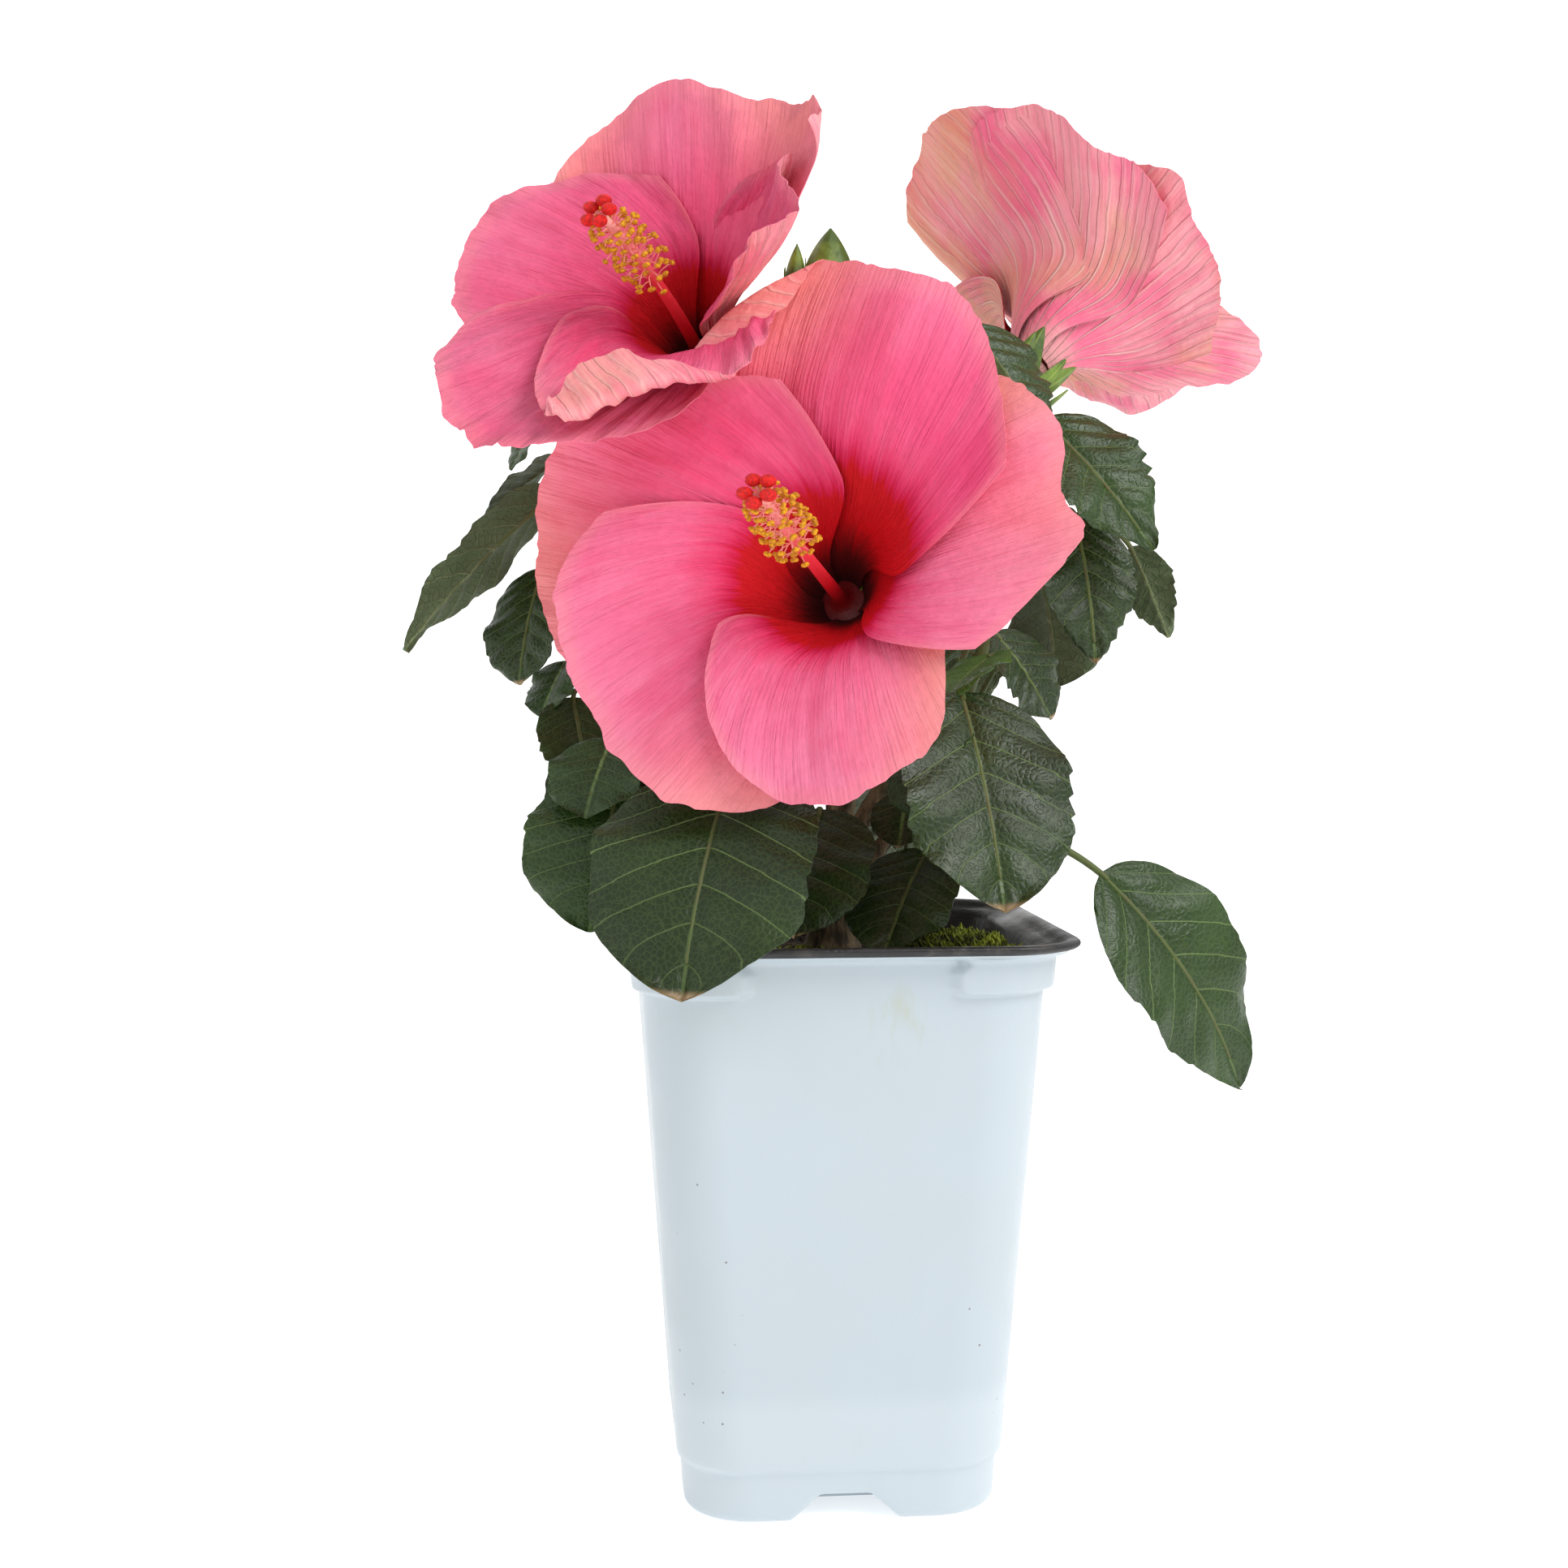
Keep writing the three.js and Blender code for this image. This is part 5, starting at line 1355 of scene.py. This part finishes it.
def add_petal(piece, name, number, settings):
    """One finished petal as a thin closed skin, with its distances and tints kept as maps."""
    bloom = BLOOMS[name]
    own = {**bloom, **bloom["petals"][number]}
    u, v = unit_grid(settings.rows + 1, settings.columns + 1)
    u = u**0.9
    points, facing, s, x = petal_points(bloom, number, u, v, True, 11 * number + len(name))
    normal = sheet_normals(points)
    third = settings.rows // 3
    if (normal[third] * facing[third]).sum() < 0:
        normal = -normal
    warmth = np.zeros_like(u)
    for at_v, at_u, strength in own["warm"]:
        warmth = np.maximum(warmth, strength * np.exp(-((v - at_v) / 0.42) ** 2 - ((u - at_u) / 0.3) ** 2))
    rim = np.maximum(u, np.abs(v) ** 1.5)
    thin = settings.thickness / MM * (1 - 0.55 * ease(rim, 0.9, 1))
    maps = {
        "petal": np.stack([u, 0.5 + 0.5 * v], axis=-1),
        "reach": np.stack([s / 100 / own["red"], 0.5 + x / 200], axis=-1),
        "tints": np.stack([warmth, ease(rim, 0.9, 1) * ease(u, 0.5, 0.8)], axis=-1),
        "age": np.stack([np.full_like(u, own["deep"]), u], axis=-1),
    }
    add_sheet(piece, points, normal, thin, number, 2 * PETAL["count"], **maps)


def streaks(m, spread, along, fine):
    """Noise drawn out along the petal: its position is (across * fine, along)."""
    where = m.node("ShaderNodeCombineXYZ", {0: m.times(spread, fine), 1: m.times(along, 3.0)}).outputs[0]
    return m.noise(1.0, 4, 0.6, where=where)


def petal_face(name, petal, bloom):
    """The face of a petal: a throat near black at its foot, partly its own deep red and partly painted shadow
    of the deep funnel, crimson with a feathered edge, pink with radial streaks, paler outside, salmon where
    the map says, and bruised at ageing margins."""
    m = Finish(name, 0.62, Specular_IOR_Level=0.22)
    along, spread = m.chart("petal")
    reach, _ = m.chart("reach")
    warmth, edge = m.chart("tints")
    fan = streaks(m, spread, along, 34.0)
    threads = streaks(m, spread, along, 110.0)
    feather = m.times(m.centred(fan), 0.11)
    feather = m.plus(feather, m.times(m.centred(threads), 0.07))
    measured = m.plus(reach, feather)
    limit = petal.reach / 0.1
    # The first two stops paint the throat's bottom near black: partly its own deep red, partly painted shadow
    # of the deep funnel.
    m.base = m.ramp(measured, [
        (0.0, petal.depth), (limit * 0.3, tone(96, 0, 2)), (limit * 0.6, petal.throat),
        (limit * 0.97, tone(204, 2, 22)), (limit * 1.05, petal.flame), (limit * 1.18, tone(232, 62, 110)),
        (limit * 1.45, petal.pink), (0.95, petal.pale)])
    outside = m.window(reach, limit * 1.05, limit * 1.6)
    light = m.times(m.window(fan, 0.42, 0.75, 0, 0.32), outside)
    m.layer(light, tone(248, 146, 178))
    deep = m.times(m.window(threads, 0.5, 0.72, 0, 0.26), outside)
    m.layer(deep, tone(214, 34, 90))
    drift = m.times(m.window(m.noise(42, 3), 0.42, 0.68, 0, 0.4), outside)
    m.layer(drift, tone(228, 62, 114))
    deeper = m.times(m.window(reach, 0.95, 0.4, 0.35), m.chart("age")[0])
    m.layer(m.times(outside, deeper), tone(236, 58, 112))
    m.layer(warmth, petal.salmon, 0.85)
    m.layer(edge, tone(250, 160, 160), 0.3)
    if bloom["bruise"]:
        old = m.times(m.window(along, 0.78, 1.0), m.window(m.noise(120, 4), 0.48, 0.68))
        m.layer(old, petal.bruise, 0.5 * bloom["bruise"])
        veil = m.window(m.noise(60, 4), 0.45, 0.7, 0, 0.35 * bloom["bruise"])
        m.layer(m.times(veil, outside), tone(200, 58, 104))
    crumple = m.noise(330, 3)
    relief = m.plus(m.times(threads, 1.2), m.times(crumple, 0.7))
    return m.wire(relief, 0.0008 + 0.0004 * bloom["bruise"])


def petal_back(name, petal, bloom):
    """The back of a petal: duller pink with a fan of pale veins that fork, and ochre tints."""
    m = Finish(name, 0.68, Specular_IOR_Level=0.25)
    along, spread = m.chart("petal")
    reach, _ = m.chart("reach")
    warmth, _ = m.chart("tints")
    drift = m.noise(36, 3)
    m.base = m.blend(m.window(drift, 0.4, 0.62), petal.under, tone(240, 112, 146))
    m.layer(warmth, petal.salmon, 0.7)
    ochre = m.window(m.noise(24, 3), 0.44, 0.62, 0, 0.62 * bloom["ochre"] + 0.12)
    m.layer(ochre, petal.ochre)
    wander = m.times(m.centred(m.noise(46, 3)), 0.07)
    placed = m.plus(spread, m.times(wander, along))
    main_vein = m.comb(placed, 9.0, 0.09, 0.01)
    main_vein = m.times(main_vein, m.window(along, 1.0, 0.5, 0.35))
    fork = m.comb(placed, 27.0, 0.16, 0.02)
    fork = m.times(fork, m.window(along, 0.25, 0.5))
    threads = streaks(m, spread, along, 100.0)
    lines = m.math("MAXIMUM", main_vein, m.times(fork, 0.7))
    clear = m.window(along, 0.9, 0.15, 0.26, 0.75)
    m.layer(m.times(lines, clear), petal.vein)
    m.layer(m.window(threads, 0.45, 0.7, 0, 0.42), tone(228, 100, 130))
    m.layer(m.window(threads, 0.48, 0.3, 0, 0.3), tone(255, 204, 196))
    m.layer(m.window(reach, 0.2, 0.02, 0, 0.55), tone(238, 186, 176))
    relief = m.plus(lines, m.times(m.noise(360, 3), 1.2))
    return m.wire(relief, 0.0005)


# ---------------------------------------------------------------- columns
def column_curve(bloom):
    """The middle line of the column, which leans up a little."""
    axis, right, top = bloom_frame(bloom)
    base = np.array(bloom["base"], float) + axis * 1.8
    tip = base + axis * COLUMN["length"] + right * bloom["lean"][0] + top * bloom["lean"][1]
    foot = base + bloom["throat"]
    return Bowed(foot, foot + axis * COLUMN["length"] / 2, tip)


def add_column(piece, name, total):
    """A tube that narrows to its tip, threads that leave its upper half and curl, each with a two-lobed
    anther, and five short arms with round pads."""
    bloom = BLOOMS[name]
    curve = column_curve(bloom)
    add_limb(piece, curve, lambda part: COLUMN["radius"] * (1 - 0.42 * part)
             + COLUMN["foot"] * np.exp(-part / 0.02), 16, 60)
    random = np.random.RandomState(40 + len(name))
    pods, sizes = [], []
    for k in range(total):
        t = COLUMN["threads_from"] + COLUMN["threads_share"] * ((k + 0.5) / total) ** 0.8
        along, out = curve.along(t), spokes(curve.across, curve.beside(t), math.radians(GOLDEN * k))
        foot = curve.at(t) + out * 0.9
        reach = random.uniform(3.4, 5.6) * (0.75 + 0.45 * math.sin(math.pi * min((t - 0.5) / 0.48, 1)))
        end = foot + out * reach + along * random.uniform(0.2, 2.4)
        bow = foot + out * reach * 0.35 + along * random.uniform(1.2, 2.6)
        add_limb(piece, Bowed(foot, bow, end), lambda part: 0.2 - 0.05 * part, 5, 6, finish=1)
        for side in (-0.32, 0.32):
            pods.append(end + np.cross(along, out) * side)
            sizes.append(random.uniform(0.8, 1.1) * np.array((0.85, 0.85, 0.65)))
    add_balls(piece, pods, sizes, 2, 4, 7, 0.12, 8)
    tip, along = curve.at(1), curve.along(1)
    for k in range(STIGMA["arms"]):
        turn = math.radians(360 / STIGMA["arms"] * k + STIGMA["turn"])
        out = spokes(curve.across, curve.beside(1), turn)
        end = tip + out * STIGMA["out"] + along * STIGMA["up"]
        add_limb(piece, Bowed(tip - along, tip + along * 1.6 + out, end), lambda part: 0.5 + 0.1 * part, 7, 8,
                 finish=1)
        add_balls(piece, [end + along * 0.3], [np.array(STIGMA["pad"])], 3, 9, 14, 0.02, 3 + k)


def column_finish(column):
    """Column: crimson at its foot, fading to pale pink."""
    m = Finish("column_tube", 0.5)
    along, _ = m.chart("way")
    m.base = m.ramp(along, [(0.0, tone(92, 0, 4)), (0.06, tone(132, 0, 6)), (0.25, column.foot),
                            (0.55, tone(240, 60, 76)), (0.85, column.tip), (1.0, tone(250, 180, 172))])
    return m.wire(m.noise(700, 2), 0.0002)


# ---------------------------------------------------------------- calyxes and buds
def add_calyx(piece, name):
    """A pedicel that swells into a cup, five pointed lobes that hug the petals, and narrow bracts below."""
    bloom = BLOOMS[name]
    axis = bloom_frame(bloom)[0]
    foot = np.array(bloom["base"], float) - axis * CALYX["below"]
    bottom = foot - axis * CALYX["cup"]
    start = CURVES[name].at(1) - CURVES[name].along(1) * 0.4
    pedicel = Bowed(start, foot - axis * 2.4 * CALYX["cup"], bottom + axis)
    thick, thin = SHOOTS[name][3][1], CALYX["pedicel"]
    add_limb(piece, pedicel, lambda part: thick + (thin - thick) * part, 10, 24, finish=2)
    swell = CALYX["radius"] - thin
    add_limb(piece, Bowed(bottom, (bottom + foot) / 2, foot + axis * 0.6),
             lambda part: thin + swell * np.sin(part * math.pi / 2), 20, 12, finish=2)
    profile = flare_profile(bloom, 0, bloom["length"])
    u, v = unit_grid(25, 13)
    size = bloom.get("lobes", 1)
    lobe = (size * CALYX["lobe"], size * CALYX["lobe_width"], 0.8, CALYX["clear"], 0 * u)
    bract = (size * (CALYX["lobe"] * BRACT["share"]), BRACT["width"], 0.6, CALYX["clear"] + BRACT["clear"],
             BRACT["low"] - BRACT["rise"] * u)
    blade = np.stack([u, 0.5 + 0.5 * v], axis=-1)
    turns = [36 + 72 * number for number in range(5)]
    turns += [360 / BRACT["count"] * number for number in range(5, 5 + BRACT["count"])]
    for number, turn in enumerate(turns):
        reach, width, taper, clear, low = lobe if number < 5 else bract
        radius, height, slope = profile(u * reach)
        half = width / 2 * (1 - u) ** taper + 0.15
        angle = math.radians(bloom["roll"] + turn) + v * half / (radius + 2)
        points, normal = round_axis(bloom, radius + clear, height - (clear + low), slope, angle)
        crease = 0.35 * np.exp(-((v * half / 0.8) ** 2)) - 0.5 * u**3
        points = points - crease[..., None] * normal
        add_sheet(piece, points, normal, 0.5 * (1 - 0.4 * u), number, 24, blade=blade)


def add_bud(piece, to, length, radius):
    """A pointed bud of five ridged lobes on its stalk, with narrow bracts round its foot."""
    along = CURVES["back"].along(1)
    start, foot = CURVES["back"].at(1) - along * 0.4, np.array(to, float)
    add_limb(piece, Bowed(start, (start + foot) / 2 + along * 2, foot), lambda part: 1.4 - 0.4 * part, 8, 14,
             finish=2)
    tip = foot + (0.5, -1, length)
    body = Bowed(foot - (0, 0, 1), (foot + tip) / 2, tip)
    part, turn = np.linspace(0, 1, 36), round_angles(40)
    outline = np.maximum(radius * np.sin(math.pi * part**0.62) ** 0.8, 0.25)
    ridges = 1 + 0.07 * np.abs(np.cos(2.5 * turn)) - 0.05 * np.exp(-((np.sin(2.5 * turn) / 0.2) ** 2))
    shape = np.minimum(outline[:, None] * ridges, radius * 1.06)
    ring = spokes(body.across, body.beside(part)[:, None], turn[None]) * shape[..., None]
    points = np.concatenate([(body.at(part)[:, None] + ring).reshape(-1, 3), [body.at(0), body.at(1)]])
    piece.closed(points, tube_faces(len(part), len(turn)), 2)
    for k in range(BRACT["count"]):
        out = aim(360 / BRACT["count"] * k, 0)
        root = foot + out * radius * 0.5
        bow = root + out * radius * 0.62 + (0, 0, length * 0.1)
        end = foot + out * radius * 1.12 + (0, 0, length * 0.55)
        add_limb(piece, Bowed(root, bow, end), lambda part: 0.55 * (1 - part) + 0.12, 6, 10, finish=2)


def calyx_finish(name, calyx, charted=True):
    """Fresh green, lighter in patches and darker towards the foot of each lobe."""
    m = Finish(name, 0.5)
    m.base = m.blend(m.window(m.noise(120, 3), 0.35, 0.65), calyx.deep, calyx.light)
    if charted:
        along, spread = m.chart("blade")
        rib = m.window(m.math("ABSOLUTE", m.centred(spread)), 0.1, 0.02)
        m.layer(rib, tone(168, 190, 92), 0.4)
        m.layer(m.window(along, 0.5, 0.0, 0, 0.4), calyx.deep)
    return m.wire(m.noise(500, 3), 0.0003)


# ---------------------------------------------------------------- operators
class HIBISCUS_OT_pot(bpy.types.Operator):
    """Makes the square nursery pot"""

    bl_idname = "hibiscus.pot"
    bl_label = "Pot"

    def execute(self, context):
        settings = look("pot")
        piece = Piece("pot_shell", "pot", white_plastic(settings), black_plastic(settings))
        add_pot(piece, settings.columns)
        piece.make("pot", sharp=50)
        return {"FINISHED"}


class HIBISCUS_OT_soil(bpy.types.Operator):
    """Makes the soil, its crumbs and its moss"""

    bl_idname = "hibiscus.soil"
    bl_label = "Soil and moss"

    def execute(self, context):
        settings = look("soil")
        ground = earth(settings)
        piece = Piece("soil_bed", "soil", ground)
        add_soil(piece)
        piece.make("soil")
        grit = mottled("grit", settings.grit, tone(236, 226, 214), 300, 0.85)
        root = mottled("root_thread", tone(150, 122, 84), tone(92, 72, 50), 300)
        crumbs = Piece("soil_crumbs", "soil", ground, grit, root)
        add_crumbs(crumbs, settings.crumbs)
        crumbs.make("soil")
        bed = mottled("moss_bed", settings.moss_deep, tone(40, 44, 20), 300, 0.95)
        tips = mottled("moss_tips", settings.moss, settings.moss_deep, 260, 0.9)
        for seed, (name, clump) in enumerate(MOSS.items()):
            moss = Piece(f"{name}_tufts", "moss", bed, tips)
            add_moss(moss, **clump, tufts=settings.tufts // (1 + seed), seed=60 + seed)
            moss.make(name)
        return {"FINISHED"}


class HIBISCUS_OT_limbs(bpy.types.Operator):
    """Makes the trunk and the boughs, with bark"""

    bl_idname = "hibiscus.limbs"
    bl_label = "Trunk and boughs"

    def execute(self, context):
        settings = look("bark")
        bark = bark_finish(settings)
        relief = settings.relief / MM
        trunk = Piece("trunk_bark", "bark", bark)
        add_bark(trunk, TRUNK_CURVE, trunk_radius, 1, 72, 110, relief, 5)
        trunk.make("trunk")
        for seed, (name, shoot) in enumerate(SHOOTS.items()):
            bough = Piece(f"bough_{name}_bark", "bark", bark)
            reach = shoot[4]
            add_bark(bough, CURVES[name], lambda part, n=name, r=reach: shoot_radius(n, part * r),
                     reach, 36, 70, relief * 0.45, 20 + seed)
            bough.make(f"bough_{name}")
        return {"FINISHED"}


class HIBISCUS_OT_foliage(bpy.types.Operator):
    """Makes the leaves and the twigs of every mass of foliage"""

    bl_idname = "hibiscus.foliage"
    bl_label = "Foliage"

    def execute(self, context):
        settings = look("leaf")
        ages = ("young", "grown", "old")
        faces = [leaf_finish(f"leaf_{age}", getattr(settings, age), settings) for age in ages]
        back = under_finish(settings)
        green = mottled("green_wood", look("bark").green, settings.stalk, 160, 0.6)
        for mass, (name, leaves) in enumerate(grow().items()):
            blades = Piece(f"leaves_{name}", "leaf", *faces, back)
            twigs = Piece(f"twigs_{name}", "leaf", green)
            bough = SHOOTS[name][4]
            add_limb(twigs, CURVES[name], lambda part, n=name, b=bough: shoot_radius(n, b + (1 - b) * part),
                     12, 50, bough - 0.01)
            for number, leaf in enumerate(leaves):
                add_leaf(blades, name, leaf, number, 2 * len(leaves), settings, 100 * mass + number)
                slim = min(1.0, leaf[3][0] / 36)
                add_limb(twigs, leaf_stalk(name, leaf), lambda part, k=slim: k * (1.25 - 0.35 * part), 8, 16)
                add_rib(twigs, name, leaf)
            blades.make(f"foliage_{name}", sharp=70)
            twigs.make(f"foliage_{name}")
        return {"FINISHED"}


class HIBISCUS_OT_corollas(bpy.types.Operator):
    """Makes the petals of the three blooms"""

    bl_idname = "hibiscus.corollas"
    bl_label = "Petals"

    def execute(self, context):
        settings = look("petal")
        for name, bloom in BLOOMS.items():
            face = petal_face(f"petal_face_{name}", settings, bloom)
            back = petal_back(f"petal_back_{name}", settings, bloom)
            corolla = Piece(f"petals_{name}", "petal", face, back)
            for number in range(PETAL["count"]):
                add_petal(corolla, name, number, settings)
            corolla.make(f"corolla_{name}", sharp=80)
        return {"FINISHED"}


class HIBISCUS_OT_columns(bpy.types.Operator):
    """Makes the columns with their anthers and stigma pads"""

    bl_idname = "hibiscus.columns"
    bl_label = "Columns"

    def execute(self, context):
        settings = look("column")
        tube = column_finish(settings)
        thread = mottled("filament", settings.filament, settings.tip, 400, 0.5)
        anther = mottled("anther", settings.anther, tone(196, 118, 14), 900, 0.75, 0.0006)
        pad = mottled("stigma", settings.pad, tone(200, 8, 8), 1200, 0.55, 0.0006)
        for name in BLOOMS:
            column = Piece(f"column_{name}_threads", "column", tube, thread, anther, pad)
            add_column(column, name, settings.anthers)
            column.make(f"column_{name}")
        return {"FINISHED"}


class HIBISCUS_OT_calyxes(bpy.types.Operator):
    """Makes the calyxes and the buds"""

    bl_idname = "hibiscus.calyxes"
    bl_label = "Calyxes and buds"

    def execute(self, context):
        settings = look("calyx")
        lobe = calyx_finish("calyx_lobe", settings)
        inner = calyx_finish("calyx_inner", settings)
        stalk = calyx_finish("calyx_stalk", settings, charted=False)
        for name in BLOOMS:
            calyx = Piece(f"calyx_{name}_lobes", "calyx", lobe, inner, stalk)
            add_calyx(calyx, name)
            calyx.make(f"calyx_{name}")
        buds = Piece("bud_pair", "calyx", lobe, inner, stalk)
        for bud in BUDS:
            add_bud(buds, *bud)
        buds.make("buds")
        return {"FINISHED"}


class HIBISCUS_OT_stage(bpy.types.Operator):
    """Sets up the floor, the light and the camera"""

    bl_idname = "hibiscus.stage"
    bl_label = "Studio"

    def execute(self, context):
        settings = look("stage")
        self.camera(context.scene)
        self.floor(context.scene, settings)
        self.lights(context.scene, settings)
        return {"FINISHED"}

    @staticmethod
    def camera(scene):
        eye = bpy.data.cameras.new("camera")
        eye.lens, eye.sensor_width = CAMERA["lens"], CAMERA["sensor"]
        eye.clip_start, eye.clip_end = 0.01, 20
        holder = bpy.data.objects.new("camera", eye)
        holder.location = [value * MM for value in CAMERA["at"]]
        holder.rotation_euler = (math.radians(90 - CAMERA["dip"]), 0, math.radians(-CAMERA["azimuth"]))
        scene.collection.objects.link(holder)
        scene.camera = holder

    @staticmethod
    def floor(scene, settings):
        """A wide sheet that curves up far behind the plant: height 0, then a quarter circle."""
        reach, bend, arc = FLOOR["reach"], FLOOR["bend"], np.linspace(0, math.pi / 2, 20)
        y = np.concatenate([[FLOOR["front"], 0], reach + bend * np.sin(arc), [reach + bend]])
        z = np.concatenate([[0, 0], bend * (1 - np.cos(arc)), [FLOOR["top"]]]) - FLOOR["below"]
        x = np.tile((-FLOOR["half_width"], FLOOR["half_width"]), len(y))
        points = np.column_stack([x, np.repeat(y, 2), np.repeat(z, 2)])
        mesh = bpy.data.meshes.new("floor")
        mesh.from_pydata(points, [], grid_faces(len(y), 2)[:, ::-1].tolist())
        mesh.polygons.foreach_set("use_smooth", np.ones(len(mesh.polygons), bool))
        paper = Finish("studio_paper", 0.9, Base_Color=settings.floor, Specular_IOR_Level=0.1,
                       Emission_Color=(1, 1, 1, 1), Emission_Strength=settings.glow)
        mesh.materials.append(paper.material)
        ground = bpy.data.objects.new("floor", mesh)
        scene.collection.objects.link(ground)

    @staticmethod
    def lights(scene, settings):
        world = bpy.data.worlds.new("surround")
        world.use_nodes = True
        sky = world.node_tree.nodes["Background"]
        sky.inputs[0].default_value = (1, 1, 1, 1)
        sky.inputs[1].default_value = settings.sky
        scene.world = world
        for name, (at, width) in LAMPS.items():
            lamp = bpy.data.lights.new(name, "AREA")
            lamp.shape, lamp.size, lamp.energy = "DISK", width, getattr(settings, name)
            holder = bpy.data.objects.new(name, lamp)
            holder.location = at
            away = np.array(at) - LIT
            turn = math.atan2(away[0], -away[1])
            holder.rotation_euler = (math.atan2(math.hypot(away[0], away[1]), away[2]), 0, turn)
            scene.collection.objects.link(holder)
        scene.view_settings.view_transform = "Standard"


class HIBISCUS_PT_panel(bpy.types.Panel):
    """Buttons for the plant's pieces and the settings of each"""

    bl_label = "Hibiscus"
    bl_idname = "HIBISCUS_PT_panel"
    bl_space_type = "VIEW_3D"
    bl_region_type = "UI"
    bl_category = "Hibiscus"

    def draw(self, context):
        for operator in OPERATORS:
            self.layout.operator(operator.bl_idname)
        for name in LOOKS:
            box = self.layout.box()
            box.label(text=name.capitalize())
            for key in getattr(LOOKS[name], "__annotations__", {}):
                box.prop(look(name), key)


OPERATORS = (
    HIBISCUS_OT_stage, HIBISCUS_OT_pot, HIBISCUS_OT_soil, HIBISCUS_OT_limbs, HIBISCUS_OT_foliage,
    HIBISCUS_OT_corollas, HIBISCUS_OT_columns, HIBISCUS_OT_calyxes,
)


def register():
    for group in (*LOOKS.values(), *OPERATORS, HIBISCUS_PT_panel):
        bpy.utils.register_class(group)
    for name, group in LOOKS.items():
        setattr(bpy.types.Scene, f"hibiscus_{name}", bpy.props.PointerProperty(type=group))


def unregister():
    for name in LOOKS:
        delattr(bpy.types.Scene, f"hibiscus_{name}")
    for group in (HIBISCUS_PT_panel, *OPERATORS[::-1], *LOOKS.values()):
        bpy.utils.unregister_class(group)


def main():
    register()
    bpy.ops.hibiscus.stage()
    bpy.ops.hibiscus.pot()
    bpy.ops.hibiscus.soil()
    bpy.ops.hibiscus.limbs()
    bpy.ops.hibiscus.foliage()
    bpy.ops.hibiscus.corollas()
    bpy.ops.hibiscus.columns()
    bpy.ops.hibiscus.calyxes()


if __name__ == "__main__":
    main()
